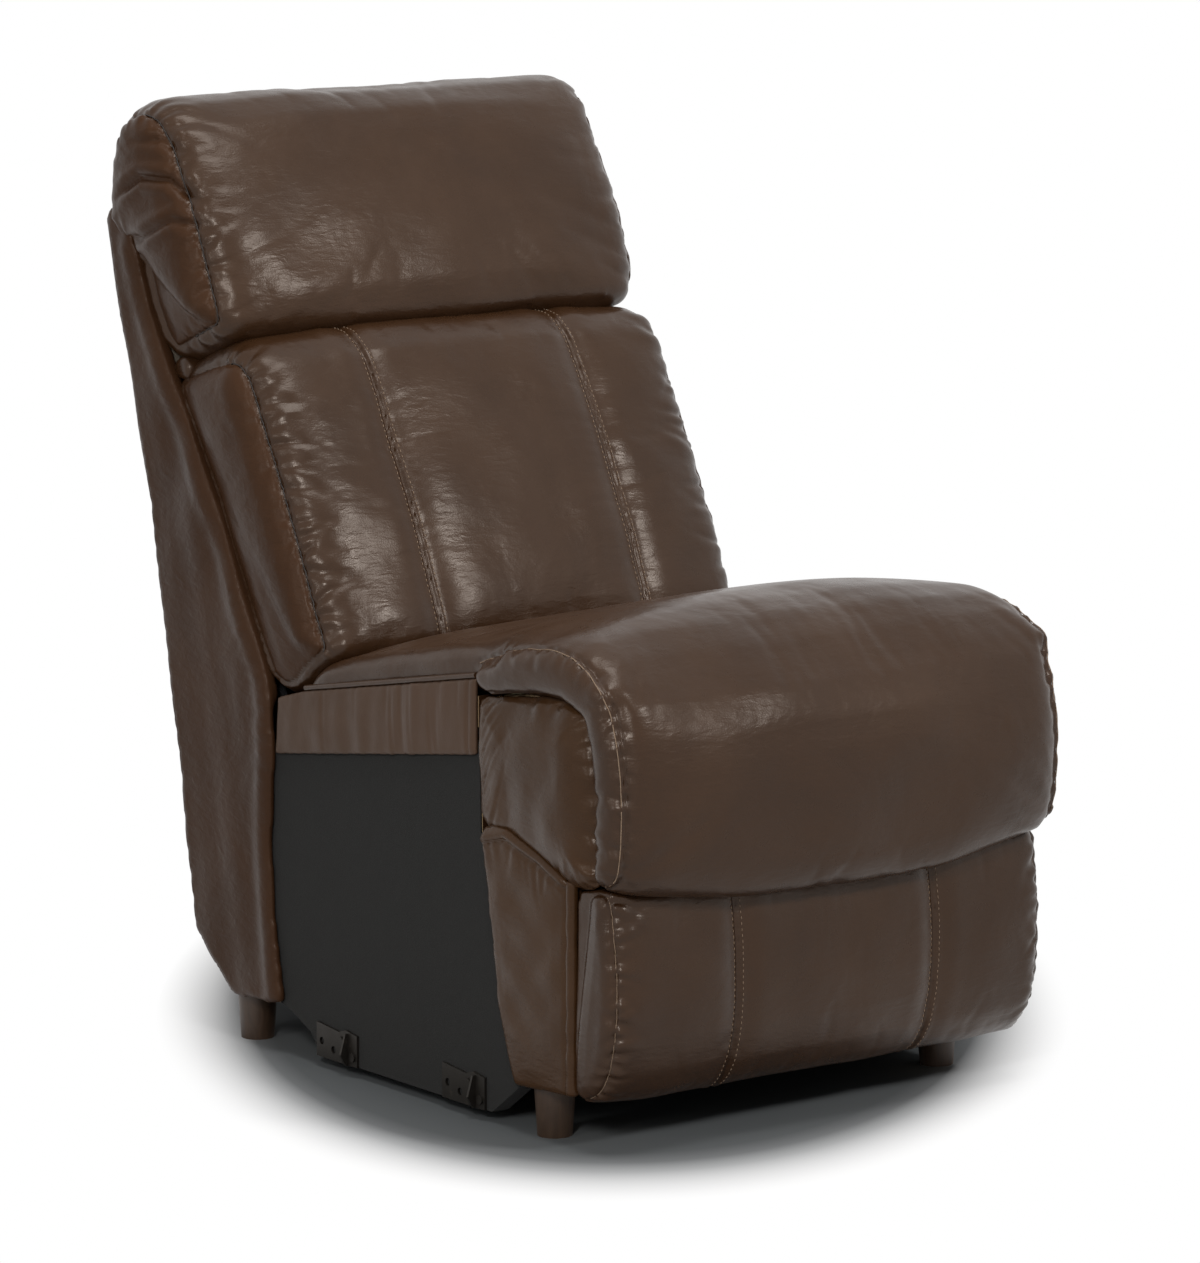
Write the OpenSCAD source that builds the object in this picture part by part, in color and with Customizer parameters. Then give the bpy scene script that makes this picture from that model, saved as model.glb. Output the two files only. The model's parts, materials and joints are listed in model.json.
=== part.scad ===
// Armless recliner section: base, swinging seat, reclining back and fold-out footrest.
// Origin: centre of the outline on the floor. Front faces -Y, height is +Z.

/* [Overall size] */
// width over the front roll
overall_w = 608; // [540:1:700]
// depth from the front roll to the rear edge of the back
overall_d = 966; // [900:1:1040]
// height of the back
overall_h = 1026; // [960:1:1100]
// reach of the front roll beyond the covers of the base and back
roll_reach = 14; // [8:0.5:24]

/* [Boards and covers] */
// thickness of the side boards of the base
board_t = 19.7; // [15:0.1:22]
// thickness of the rails
rail_t = 18; // [15:0.5:25]
// thickness of the black side cloth
cloth_t = 2; // [1:0.1:3]
// thickness of the padded leather on boards
leather_t = 5.7; // [3:0.1:8]
// gap between parts that lie against each other
seat_gap = 0.3; // [0.2:0.1:0.6]
// gap beside the sliding seat strip
strip_gap = 0.6; // [0.4:0.1:1.5]
// diameter of the piping cord
piping_d = 6; // [4:0.5:9]

/* [Cushions] */
// edge rounding of the back cushions
back_edge_r = 40; // [20:1:60]
// forward swell of the back cushions
back_crown = 14; // [5:1:25]
// edge rounding of the seat pad
pad_edge_r = 20; // [10:1:22]
// swell of the seat pad and of its front roll
pad_crown = 9; // [4:0.5:16]
// swell of the seat pad between its sides
seat_crown = 14; // [6:0.5:20]
// run over which the front pad draws in at its ends
end_run = 46; // [30:1:60]
// radius of that draw-in
end_r = 66; // [60:1:120]
// swell of the back cushions beyond the side covers
back_bulge = 17; // [4:0.5:20]
// distance of the stitched seams of the lower back cushion from the middle
lumbar_seam_x = 140; // [100:1:180]
// distance of the stitched seams of the footrest from the middle
footrest_seam_x = 132; // [100:1:180]
// depth of a stitched seam
seam_dip = 7; // [3:0.5:10]
// width of the hollow along a stitched seam
seam_spread = 14; // [8:1:25]
// swell of the side bolsters
bolster_swell = 14; // [6:1:18]

/* [Feet] */
// height of a foot
foot_h = 56; // [45:0.5:70]
// top radius of a foot
foot_top_r = 22; // [18:0.5:30]
// bottom radius of a foot
foot_base_r = 18.5; // [14:0.5:26]
// radius of the threaded stud of a foot
stud_r = 4; // [3:0.5:5]
// length of the threaded stud
stud_len = 24; // [15:1:35]

/* [Mechanism] */
// thickness of the steel links
steel_t = 3; // [2.5:0.5:4]
// radius of the pivot studs
pin_r = 4; // [3:0.5:5]
// running clearance round a pivot stud
pin_fit = 0.08; // [0.02:0.01:0.1]
// half width of a link
link_r = 10; // [8:0.5:12]
// radius of the bosses of the plates
boss_r = 15; // [12:0.5:18]
// side gap between neighbouring links
link_gap = 1.1; // [0.8:0.1:2]
// radius of the cross tube
tube_r = 11; // [8:0.5:14]
// wall of the cross tube
tube_wall = 1.5; // [1:0.1:3]
// recline of the back in degrees
recline_max = 30; // [20:1:30]
// thickness of the retaining heads
head_t = 0.7; // [0.5:0.1:1]

/* [Springs and webbing] */
// thickness of the seat spring wire
wire_t = 3.6; // [3:0.1:4.5]
// width of one wave of a seat spring
wave_w = 44; // [30:1:60]
// length of one wave of a seat spring
wave_l = 50; // [30:1:60]
// spacing of the seat springs
spring_pitch = 96; // [80:1:110]
// width of a back strap
strap_w = 50; // [30:1:60]
// thickness of a back strap
strap_t = 2; // [1:0.1:3]

/* [Sectional brackets] */
// length of a bracket
bracket_l = 76; // [60:1:90]
// height of a bracket
bracket_h = 38; // [30:1:50]
// thickness of the bracket steel
bracket_t = 3; // [2:0.5:4]
// reach of the bracket flange
flange_reach = 13; // [8:1:15]
// radius of the bracket holes
bracket_hole_r = 4.2; // [3:0.1:6]
// radius of a screw head
screw_r = 5; // [3:0.5:7]
// height of a screw head
screw_head = 2.2; // [1:0.1:4]
// radius of a screw shank
shank_r = 2.1; // [1.5:0.1:3]

/* [Hidden] */
$fn = 64;
dep = overall_d / 2;
tall = overall_h;
half_w = overall_w / 2 - roll_reach;
cover_x = half_w - leather_t;
cloth_x = cover_x - seat_gap / 2;
board_x = cloth_x - cloth_t - seat_gap / 2;
board_in = board_x - board_t;
base_steel_x = board_in - steel_t;
outer_x = base_steel_x - link_gap - steel_t;
seat_steel_x = outer_x - link_gap * 1.6 - steel_t;
link_x = seat_steel_x - link_gap - steel_t;
carrier_x = link_x - link_gap * 1.4 - steel_t;
foot_x = board_x - foot_top_r;
sole_z = foot_h + seat_gap;
seat_rail_x = seat_steel_x + steel_t;
strip_x = cloth_x + strip_gap;
pad_w = cover_x - leather_t / 6;
roll_w = overall_w / 2;

back_pivot = [0.4141 * dep, 0.3752 * tall];
seat_pivot = [0.4679 * dep, 0.2807 * tall];
drop = seat_pivot - back_pivot;
swing_base = [-0.4244 * dep, 0.3216 * tall];
swing_seat = swing_base + drop;
fold_pivot = [-0.9130 * dep, 0.4805 * tall];
bracket_pivot = [-0.7598 * dep, 0.2437 * tall];
reach = bracket_pivot - fold_pivot;
rear_top = [-0.4451 * dep, 0.3947 * tall];
rear_low = rear_top + reach;
fold_line = fold_pivot - rear_top;
front_share = 0.3;
front_top = rear_top + fold_line * front_share;
front_low = rear_low + fold_line * front_share;
tie_share = 0.18;
tie_rear = rear_low - reach * tie_share;
tie_front = bracket_pivot - reach * tie_share;
tube_share = 0.35;
tube_at = rear_top + reach * tube_share;

leather = "#5a3a28";
cloth = "#2f2e2c";
wood = "#b08a5a";
steel = "#55585c";
foam = "#e8dcb4";
web = "#6b6257";
foot_wood = "#4a2d1c";

// outline in the side view drawn from x0 to x1
module slab(x0, x1, pts) {
    translate([x0, 0, 0])
        rotate([90, 0, 90])
            linear_extrude(height = x1 - x0)
                polygon(pts);
}

// round bar across the chair from x0 to x1
module bar(x0, x1, p, r) {
    translate([x0, p[0], p[1]])
        rotate([0, 90, 0])
            cylinder(h = x1 - x0, r = r);
}

module both() {
    children();
    mirror([1, 0, 0])
        children();
}

module side(s) {
    mirror([s > 0 ? 0 : 1, 0, 0])
        children();
}

// stud that points inward from the plate at x0 through the next plane
module stud_in(x0, p) {
    bar(x0 - steel_t - link_gap * 1.4, x0, p, pin_r);
    bar(x0 - steel_t - link_gap * 1.4 - head_t, x0 - steel_t - link_gap * 1.4, p, pin_r * 1.5);
}

// stud that points outward from the seat plate
module stud_out(x1, p) {
    bar(x1, outer_x + steel_t + link_gap / 2, p, pin_r);
}

module bore(p) {
    bar(0, roll_w, p, pin_r + pin_fit);
}

// round-ended strip between the points a and b of a side outline
module strip(a, b, r) {
    d = b - a;
    l = norm(d);
    translate(a)
        rotate(atan2(d[1], d[0])) {
            circle(r = r);
            translate([l, 0])
                circle(r = r);
            translate([0, -r])
                square([l, 2 * r]);
        }
}

// steel plate cut to the outline of its children, in the plane that starts at x0
module plate(x0) {
    translate([x0, 0, 0])
        rotate([90, 0, 90])
            linear_extrude(height = steel_t)
                children();
}

module link(x0, a, b, r) {
    plate(x0)
        strip(a, b, r);
}

// closed skin through rings of equal point count
module skin(rings) {
    n = len(rings[0]);
    m = len(rings);
    pts = [for (r = rings) for (p = r) p];
    cap = [
        for (i = [0:floor(n / 2) - 1])
            each [
                if (i + 1 < n - 1 - i) [i, i + 1, n - 1 - i],
                if (i + 1 < n - 2 - i) [i + 1, n - 2 - i, n - 1 - i]
            ]
    ];
    far = [for (f = cap) [for (k = [2, 1, 0]) (m - 1) * n + f[k]]];
    wall = [
        for (j = [0:m - 2])
            for (i = [0:n - 1])
                let (a = j * n + i, b = j * n + (i + 1) % n)
                    each [[a, a + n, b], [b, a + n, b + n]]
    ];
    polyhedron(points = pts, faces = concat(cap, far, wall), convexity = 8);
}

// ring of a padded outline at x: rounded at its ends, swollen in the middle, hollowed at the seams
// bulge moves points outwards by their last share, ends draws them in by it
function ring(prof, x, w, r, crown, seam, bulge, ends) =
    let (
        n = len(prof),
        over = max(0, abs(x) - (w - r)),
        inset = r - sqrt(max(0, r * r - over * over)),
        dent = seam > 0 ? seam_dip * exp(-pow((abs(x) - seam) / seam_spread, 2)) : 0,
        rise = crown * (1 - pow(x / w, 2)) - dent
    )
    [
        for (i = [0:n - 1])
            let (
                p = prof[i],
                a = prof[(i + n - 1) % n],
                b = prof[(i + 1) % n],
                t = [b[0] - a[0], b[1] - a[1]],
                s = len(p) > 4 ? p[4] : 0,
                cut = (len(p) > 3 ? inset * p[3] : 0) + ends * end_inset(abs(x)) * s,
                k = (rise * p[2] - cut) / norm(t)
            )
            [x * (1 + bulge * s * pow(abs(x) / w, 3) / w), p[0] + t[1] * k, p[1] - t[0] * k]
    ];

// how far the front pad draws in towards its ends
function end_inset(x) =
    let (o = max(0, x - (roll_w - end_run)))
        end_r - sqrt(end_r * end_r - o * o);

function stations(w, r, seam) =
    let (
        half = concat(
            [0, 0.16 * (w - r), 0.32 * (w - r)],
            seam > 0 ? [
                seam - 1.9 * seam_spread,
                seam - 0.8 * seam_spread,
                seam,
                seam + 0.8 * seam_spread,
                seam + 1.9 * seam_spread
            ] : [0.5 * (w - r), 0.68 * (w - r)],
            [0.86 * (w - r), w - r, w - 0.62 * r, w - 0.34 * r, w - 0.13 * r, w - 0.03 * r, w]
        ),
        n = len(half)
    )
    concat([for (i = [n - 1:-1:1]) -half[i]], half);

module padded(prof, w, r, crown, seam, bulge = 0, ends = 0) {
    skin([for (x = stations(w, r, seam)) ring(prof, x, w, r, crown, seam, bulge, ends)]);
}

// padded outline on one side from x0 out to x1
module side_padded(prof, x0, x1, r, ends = 0) {
    l = x1 - x0;
    skin([
        for (s = [0, 0.2, 0.45, 0.7, 0.85, 0.95, 1])
            let (d = s < 0.2 ? 0 : s < 0.45 ? 0 : r * pow((s - 0.45) / 0.55, 2.4))
                [
                    for (i = [0:len(prof) - 1])
                        let (
                            n = len(prof),
                            p = prof[i],
                            a = prof[(i + n - 1) % n],
                            b = prof[(i + 1) % n],
                            t = [b[0] - a[0], b[1] - a[1]],
                            e = p[2] > 0 ? ends * end_inset(x0 + l * s) : 0,
                            k = -(d * p[2] + e) / norm(t)
                        )
                        [x0 + l * s, p[0] + t[1] * k, p[1] - t[0] * k]
                ]
    ]);
}

// side outlines are shares of the half depth and of the height

module base_side(s) {
    side(s)
        difference() {
            slab(board_in, board_x, [
                [-0.7288 * dep, sole_z], [-0.588 * dep, sole_z], [-0.5590 * dep, 0.0439 * tall],
                [-0.4720 * dep, 0.0136 * tall], [0.1739 * dep, 0.0136 * tall],
                [0.2174 * dep, 0.0361 * tall], [0.3064 * dep, sole_z], [0.5114 * dep, sole_z],
                [0.6480 * dep, 0.1121 * tall], [0.6957 * dep, 0.2729 * tall],
                [0.4679 * dep, 0.3353 * tall], [0.3147 * dep, 0.3314 * tall],
                [0.3106 * dep, 0.3382 * tall], [-0.4327 * dep, 0.3938 * tall],
                [-0.4369 * dep, 0.3002 * tall],
                [-0.4886 * dep, 0.3002 * tall], [-0.5466 * dep, 0.3060 * tall],
                [-0.6667 * dep, 0.2875 * tall], [-0.7288 * dep, 0.2768 * tall]
            ]);
            foot_bores();
        }
}
module base_side_left() color(wood) base_side(-1);
module base_side_right() color(wood) base_side(1);

module side_cloth(s) {
    side(s)
        union() {
            slab(cloth_x - cloth_t, cloth_x, [
                [-0.5859 * dep, 0.0536 * tall], [-0.5607 * dep, 0.0419 * tall],
                [-0.4735 * dep, 0.0117 * tall], [0.1754 * dep, 0.0117 * tall],
                [0.2195 * dep, 0.0341 * tall], [0.3043 * dep, 0.0517 * tall],
                [0.3437 * dep, 0.0565 * tall], [0.3768 * dep, 0.1462 * tall],
                [0.3892 * dep, 0.2339 * tall], [0.3789 * dep, 0.3216 * tall],
                [0.3478 * dep, 0.3353 * tall], [0.3106 * dep, 0.3402 * tall],
                [-0.4306 * dep, 0.3947 * tall], [-0.4358 * dep, 0.2998 * tall],
                [-0.4886 * dep, 0.2998 * tall], [-0.5424 * dep, 0.2924 * tall]
            ]);
            slab(board_in, cloth_x - seat_gap, [
                [-0.5859 * dep, 0.0518 * tall], [-0.5607 * dep, 0.0419 * tall],
                [-0.4735 * dep, 0.0117 * tall], [0.1754 * dep, 0.0117 * tall],
                [0.2195 * dep, 0.0341 * tall], [0.3043 * dep, 0.0517 * tall],
                [0.3023 * dep, 0.0533 * tall], [0.2178 * dep, 0.0356 * tall],
                [0.1741 * dep, 0.0133 * tall], [-0.4723 * dep, 0.0133 * tall],
                [-0.5594 * dep, 0.0434 * tall], [-0.5855 * dep, 0.0534 * tall]
            ]);
        }
}
module side_cloth_left() color(cloth) side_cloth(-1);
module side_cloth_right() color(cloth) side_cloth(1);

rail_w = board_in;
front_foot_y = -0.635 * dep;
rear_foot_y = 0.5072 * dep;
block_y = front_foot_y + rail_t / 6;
front_rail_y = block_y - foot_top_r - 4 * seat_gap;
module front_rail() color(wood)
    slab(-rail_w, rail_w, [
        [front_rail_y - rail_t, sole_z],
        [front_rail_y, sole_z],
        [front_rail_y, 0.1365 * tall],
        [front_rail_y - rail_t, 0.1365 * tall]
    ]);
module rear_rail() color(wood)
    slab(-rail_w, rail_w, [
        [0.5880 * dep, 0.0897 * tall], [0.6253 * dep, 0.1053 * tall], [0.6594 * dep, 0.1189 * tall],
        [0.6909 * dep, 0.2076 * tall], [0.7035 * dep, 0.2651 * tall], [0.6646 * dep, 0.2651 * tall],
        [0.6211 * dep, 0.1189 * tall], [0.5880 * dep, 0.1053 * tall]
    ]);

module corner_block(y) {
    difference() {
        both()
            slab(foot_x - foot_top_r * 1.8, rail_w, [
                [y - foot_top_r, foot_h + seat_gap],
                [y + foot_top_r * 0.1, foot_h + seat_gap],
                [y + foot_top_r, foot_h + foot_top_r],
                [y + foot_top_r, foot_h * 1.9],
                [y - foot_top_r, foot_h * 1.9]
            ]);
        foot_bores();
    }
}
module base_corner_blocks() color(wood) {
    corner_block(block_y);
    corner_block(rear_foot_y);
}

module foot_bores() {
    for (y = [front_foot_y, rear_foot_y])
        both()
            translate([foot_x, y, 0])
                cylinder(h = foot_h + stud_len * 1.1, r = stud_r * 1.25);
}

module foot(sx, y) {
    translate([sx * foot_x, y, 0]) {
        cylinder(h = foot_h, r1 = foot_base_r, r2 = foot_top_r);
        cylinder(h = foot_h + stud_len, r = stud_r);
    }
}
module foot_front_left() color(foot_wood) foot(-1, front_foot_y);
module foot_front_right() color(foot_wood) foot(1, front_foot_y);
module foot_rear_left() color(foot_wood) foot(-1, rear_foot_y);
module foot_rear_right() color(foot_wood) foot(1, rear_foot_y);

module dust_cover() color(cloth)
    translate([-foot_x + foot_top_r * 1.85, 0, foot_h - cloth_t])
        linear_extrude(height = cloth_t)
            polygon([
                [0, -0.712 * dep],
                [2 * foot_x - foot_top_r * 3.7, -0.712 * dep],
                [2 * foot_x - foot_top_r * 3.7, 0.586 * dep],
                [0, 0.586 * dep]
            ]);

module front_post(s) {
    side(s) {
        slab(cover_x, half_w, [
            [-0.4679 * dep, 0.2856 * tall], [-0.4865 * dep, 0.3041 * tall],
            [-0.5507 * dep, 0.3109 * tall], [-0.6667 * dep, 0.2924 * tall],
            [-0.7629 * dep, 0.2768 * tall], [-0.7629 * dep, 0.0556 * tall],
            [-0.5735 * dep, 0.0497 * tall], [-0.5424 * dep, 0.0819 * tall],
            [-0.5093 * dep, 0.1326 * tall], [-0.4845 * dep, 0.2144 * tall]
        ]);
        slab(board_in - rail_t / 2, cover_x, [
            [-0.7702 * dep, 0.2739 * tall], [-0.7578 * dep, 0.2758 * tall],
            [-0.7578 * dep, 0.0565 * tall], [-0.7702 * dep, 0.0565 * tall]
        ]);
        slab(cover_x - leather_t, half_w - piping_d, [
            [-0.7702 * dep, 0.2739 * tall], [-0.7578 * dep, 0.2758 * tall],
            [-0.7578 * dep, 0.0565 * tall], [-0.7702 * dep, 0.0565 * tall]
        ]);
        slab(board_in, cover_x + leather_t / 2, [
            [-0.4369 * dep, 0.3006 * tall], [-0.4886 * dep, 0.3006 * tall],
            [-0.5466 * dep, 0.3064 * tall], [-0.6046 * dep, 0.2976 * tall],
            [-0.6046 * dep, 0.2998 * tall], [-0.5466 * dep, 0.3088 * tall],
            [-0.4886 * dep, 0.3027 * tall], [-0.4369 * dep, 0.3027 * tall]
        ]);
    }
}
module front_post_left() color(leather) front_post(-1);
module front_post_right() color(leather) front_post(1);

module post_welt(s) {
    side(s)
        translate([half_w - piping_d / 2, -0.7719 * dep, foot_h * 1.06])
            cylinder(h = 0.2183 * tall, r = piping_d / 2 - seat_gap, $fn = 24);
}
module post_welts() color(leather) {
    post_welt(-1);
    post_welt(1);
}

module lower_cover(s) {
    side(s)
        difference() {
            slab(cover_x, half_w, [
                [0.3126 * dep, 0.0575 * tall], [0.5072 * dep, 0.0497 * tall],
                [0.5197 * dep, 0.0517 * tall], [0.6708 * dep, 0.1131 * tall],
                [0.7039 * dep, 0.2066 * tall], [0.7215 * dep, 0.2904 * tall],
                [0.4700 * dep, 0.3587 * tall], [0.3447 * dep, 0.3431 * tall],
                [0.3433 * dep, 0.3255 * tall], [0.3582 * dep, 0.2261 * tall],
                [0.3478 * dep, 0.1462 * tall]
            ]);
            bar(0, roll_w, back_pivot, boss_r * 2 + 2 * strip_gap);
        }
}
module lower_cover_left() color(leather) lower_cover(-1);
module lower_cover_right() color(leather) lower_cover(1);

module rear_cover() color(leather)
    slab(-cover_x + seat_gap, cover_x - seat_gap, [
        [0.5445 * dep, 0.0618 * tall], [0.6708 * dep, 0.1131 * tall], [0.7039 * dep, 0.2066 * tall],
        [0.7215 * dep, 0.2885 * tall], [0.7101 * dep, 0.2904 * tall],
        [0.6930 * dep, 0.2076 * tall], [0.6640 * dep, 0.1168 * tall], [0.5377 * dep, 0.0655 * tall]
    ]);

module back_gusset() color(leather) {
    side(1)
        gusset_side();
    side(-1)
        gusset_side();
    slab(-cover_x + seat_gap, cover_x - seat_gap, [
        [0.7112 * dep, 0.2919 * tall], [0.7226 * dep, 0.2907 * tall], [0.7578 * dep, 0.3728 * tall],
        [0.7464 * dep, 0.3738 * tall]
    ]);
}
module gusset_side() {
    slab(cover_x + seat_gap, half_w - seat_gap, [
        [0.4834 * dep, 0.3733 * tall], [0.4783 * dep, 0.3572 * tall], [0.7174 * dep, 0.2927 * tall],
        [0.7547 * dep, 0.3733 * tall]
    ]);
}

module connector(s, y) {
    side(s)
        difference() {
            union() {
                slab(cloth_x + seat_gap, cloth_x + seat_gap + bracket_t, [
                    [y, 0.012 * tall],
                    [y, 0.049 * tall],
                    [y - bracket_l * 0.55, 0.045 * tall],
                    [y - bracket_l * 0.72, 0.049 * tall],
                    [y - bracket_l, 0.046 * tall],
                    [y - bracket_l, 0.012 * tall]
                ]);
                translate([cloth_x + seat_gap, y - bracket_l * 0.75, 0])
                    rotate([90, 0, 0])
                        linear_extrude(height = bracket_t)
                            polygon([
                                [0, 0.012 * tall],
                                [flange_reach * 0.5, 0.012 * tall],
                                [flange_reach, 0.024 * tall],
                                [flange_reach * 0.5, 0.046 * tall],
                                [0, 0.046 * tall]
                            ]);
            }
            bar(0, roll_w, [y - bracket_l * 0.13, 0.0295 * tall], bracket_hole_r);
            bar(0, roll_w, [y - bracket_l * 0.42, 0.0235 * tall], bracket_hole_r);
            bar(0, roll_w, [y - bracket_l * 0.62, 0.036 * tall], shank_r);
            bar(0, roll_w, [y - bracket_l * 0.9, 0.022 * tall], shank_r);
        }
}
rear_bracket_y = 0.1863 * dep;
front_bracket_y = -0.2981 * dep;
module connectors_left() color(steel) {
    connector(-1, rear_bracket_y);
    connector(-1, front_bracket_y);
}
module connectors_right() color(steel) {
    connector(1, rear_bracket_y);
    connector(1, front_bracket_y);
}

module connector_screws() color(steel)
    both()
        for (y = [rear_bracket_y, front_bracket_y])
            for (p = [[y - bracket_l * 0.62, 0.036 * tall], [y - bracket_l * 0.9, 0.022 * tall]])
                translate([cloth_x + seat_gap + bracket_t, 0, 0])
                    bar(0, screw_head, p, screw_r);

// steel of the base: front rail with the swing link pivot, rear post with the back pivot
module base_plate(s) {
    side(s) {
        plate(base_steel_x) {
            strip([-0.6584 * dep, 0.2904 * tall], swing_base, boss_r * 0.8);
            strip(swing_base, [-0.2484 * dep, 0.1462 * tall], boss_r * 0.8);
            strip([-0.2484 * dep, 0.1462 * tall], [0.3934 * dep, 0.2339 * tall], boss_r * 0.8);
            strip([0.3934 * dep, 0.2339 * tall], back_pivot, boss_r);
        }
        stud_in(base_steel_x, swing_base);
        stud_in(base_steel_x, back_pivot);
    }
}
module base_plates() color(steel)
    both()
        base_plate(1);

module swing_link(s) {
    side(s)
        difference() {
            link(outer_x, swing_base, swing_seat, link_r);
            bore(swing_base);
            bore(swing_seat);
        }
}
module swing_links() color(steel)
    both()
        swing_link(1);

// seat frame
module seat_plate(s) {
    side(s) {
        slab(seat_steel_x, seat_rail_x - seat_gap / 2, [
            [-0.7246 * dep, 0.4142 * tall], [-0.7143 * dep, 0.4464 * tall],
            [-0.6211 * dep, 0.4444 * tall], [-0.4203 * dep, 0.4288 * tall],
            [0.2899 * dep, 0.3782 * tall],
            [0.2940 * dep, 0.3431 * tall], [0.4472 * dep, 0.2924 * tall],
            [0.4369 * dep, 0.2690 * tall], [0.1863 * dep, 0.3177 * tall],
            [-0.2484 * dep, 0.3528 * tall],
            [-0.3313 * dep, 0.3216 * tall], [-0.3458 * dep, 0.2203 * tall],
            [-0.3954 * dep, 0.2203 * tall], [-0.4058 * dep, 0.3216 * tall],
            [-0.4803 * dep, 0.3821 * tall], [-0.6004 * dep, 0.4045 * tall]
        ]);
        bar(seat_steel_x, seat_rail_x - seat_gap / 2, seat_pivot, boss_r * 0.8);
        bar(seat_steel_x, seat_rail_x - seat_gap / 2, swing_seat, boss_r * 0.8);
        stud_out(seat_rail_x - seat_gap / 2, swing_seat);
        stud_out(seat_rail_x - seat_gap / 2, seat_pivot);
        stud_in(seat_steel_x, rear_top);
        stud_in(seat_steel_x, front_top);
    }
}
module seat_plates() color(steel)
    both()
        seat_plate(1);

module seat_side_rail(s) {
    side(s)
        slab(seat_rail_x + seat_gap / 2, strip_x - seat_gap, [
            [0.3106 * dep, 0.3567 * tall], [0.3106 * dep, 0.3821 * tall],
            [0.2195 * dep, 0.3869 * tall], [-0.4306 * dep, 0.4415 * tall],
            [-0.4306 * dep, 0.4094 * tall]
        ]);
}
module seat_side_rails() color(wood)
    both()
        seat_side_rail(1);

module seat_cross_rails() color(wood) {
    slab(-seat_steel_x + seat_gap, seat_steel_x - seat_gap, [
        [-0.7246 * dep, 0.4152 * tall], [-0.6832 * dep, 0.4152 * tall], [-0.6832 * dep, 0.4454 * tall],
        [-0.7246 * dep, 0.4454 * tall]
    ]);
    slab(-seat_steel_x + seat_gap, seat_steel_x - seat_gap, [
        [0.2443 * dep, 0.3450 * tall], [0.2899 * dep, 0.3450 * tall], [0.2899 * dep, 0.3821 * tall],
        [0.2443 * dep, 0.3821 * tall]
    ]);
}

module seat_corner_block(s) {
    side(s)
        slab(seat_rail_x + seat_gap / 2, strip_x - leather_t - seat_gap, [
            [-0.4596 * dep, 0.3353 * tall], [-0.4596 * dep, 0.4415 * tall],
            [-0.6211 * dep, 0.4552 * tall], [-0.6832 * dep, 0.4581 * tall],
            [-0.7702 * dep, 0.4542 * tall], [-0.8199 * dep, 0.4211 * tall],
            [-0.8323 * dep, 0.3801 * tall], [-0.8323 * dep, 0.3353 * tall]
        ]);
}
module seat_corner_blocks() color(wood)
    both()
        seat_corner_block(1);

module seat_strip(s) {
    side(s)
        slab(strip_x, half_w - seat_gap, [
            [0.3364 * dep, 0.3275 * tall], [0.3251 * dep, 0.3889 * tall],
            [0.2195 * dep, 0.4025 * tall], [-0.4306 * dep, 0.4596 * tall],
            [-0.4306 * dep, 0.3811 * tall]
        ]);
}
module seat_strip_left() color(leather) seat_strip(-1);
module seat_strip_right() color(leather) seat_strip(1);

// piping along the top of the seat strips, one straight cord a side
module strip_piping(s) {
    a = [0.2195 * dep, 0.4060 * tall];
    b = [-0.4286 * dep, 0.4629 * tall];
    d = b - a;
    side(s)
        translate([half_w - piping_d / 2, a[0], a[1]])
            rotate([90 - atan2(d[1], -d[0]), 0, 0])
                cylinder(h = norm(d), r = piping_d / 2, $fn = 16);
}
module seat_piping() color(leather) {
    strip_piping(-1);
    strip_piping(1);
}

// zigzag spring wire in the sloping plane of the seat
spring_rear = [0.2435 * dep, 0.3635 * tall];
spring_front = [-0.6824 * dep, 0.4230 * tall];
module seat_spring(x) {
    d = spring_front - spring_rear;
    l = norm(d);
    n = round(l / wave_l) * 8;
    mid = [for (i = [0:n]) [wave_w / 2 * sin(i * 45), l * i / n]];
    translate([x, spring_rear[0], spring_rear[1]])
        rotate([180 - atan2(d[1], -d[0]), 0, 0])
            translate([0, 0, -wire_t / 2])
                linear_extrude(height = wire_t)
                    polygon(concat(
                        [for (p = mid) [p[0] - wire_t / 2, p[1]]],
                        [for (i = [n:-1:0]) [mid[i][0] + wire_t / 2, mid[i][1]]]
                    ));
}
module seat_springs() color(steel)
    for (k = [-2:2])
        seat_spring(k * spring_pitch);

module seat_foam() color(foam)
    slab(-link_x + rail_t / 3, link_x - rail_t / 3, [
        [-0.6749 * dep, 0.4264 * tall], [0.2070 * dep, 0.3694 * tall], [0.2195 * dep, 0.3830 * tall],
        [0.0766 * dep, 0.4011 * tall], [-0.1532 * dep, 0.4225 * tall], [-0.4907 * dep, 0.4479 * tall],
        [-0.6749 * dep, 0.4591 * tall]
    ]);

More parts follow.
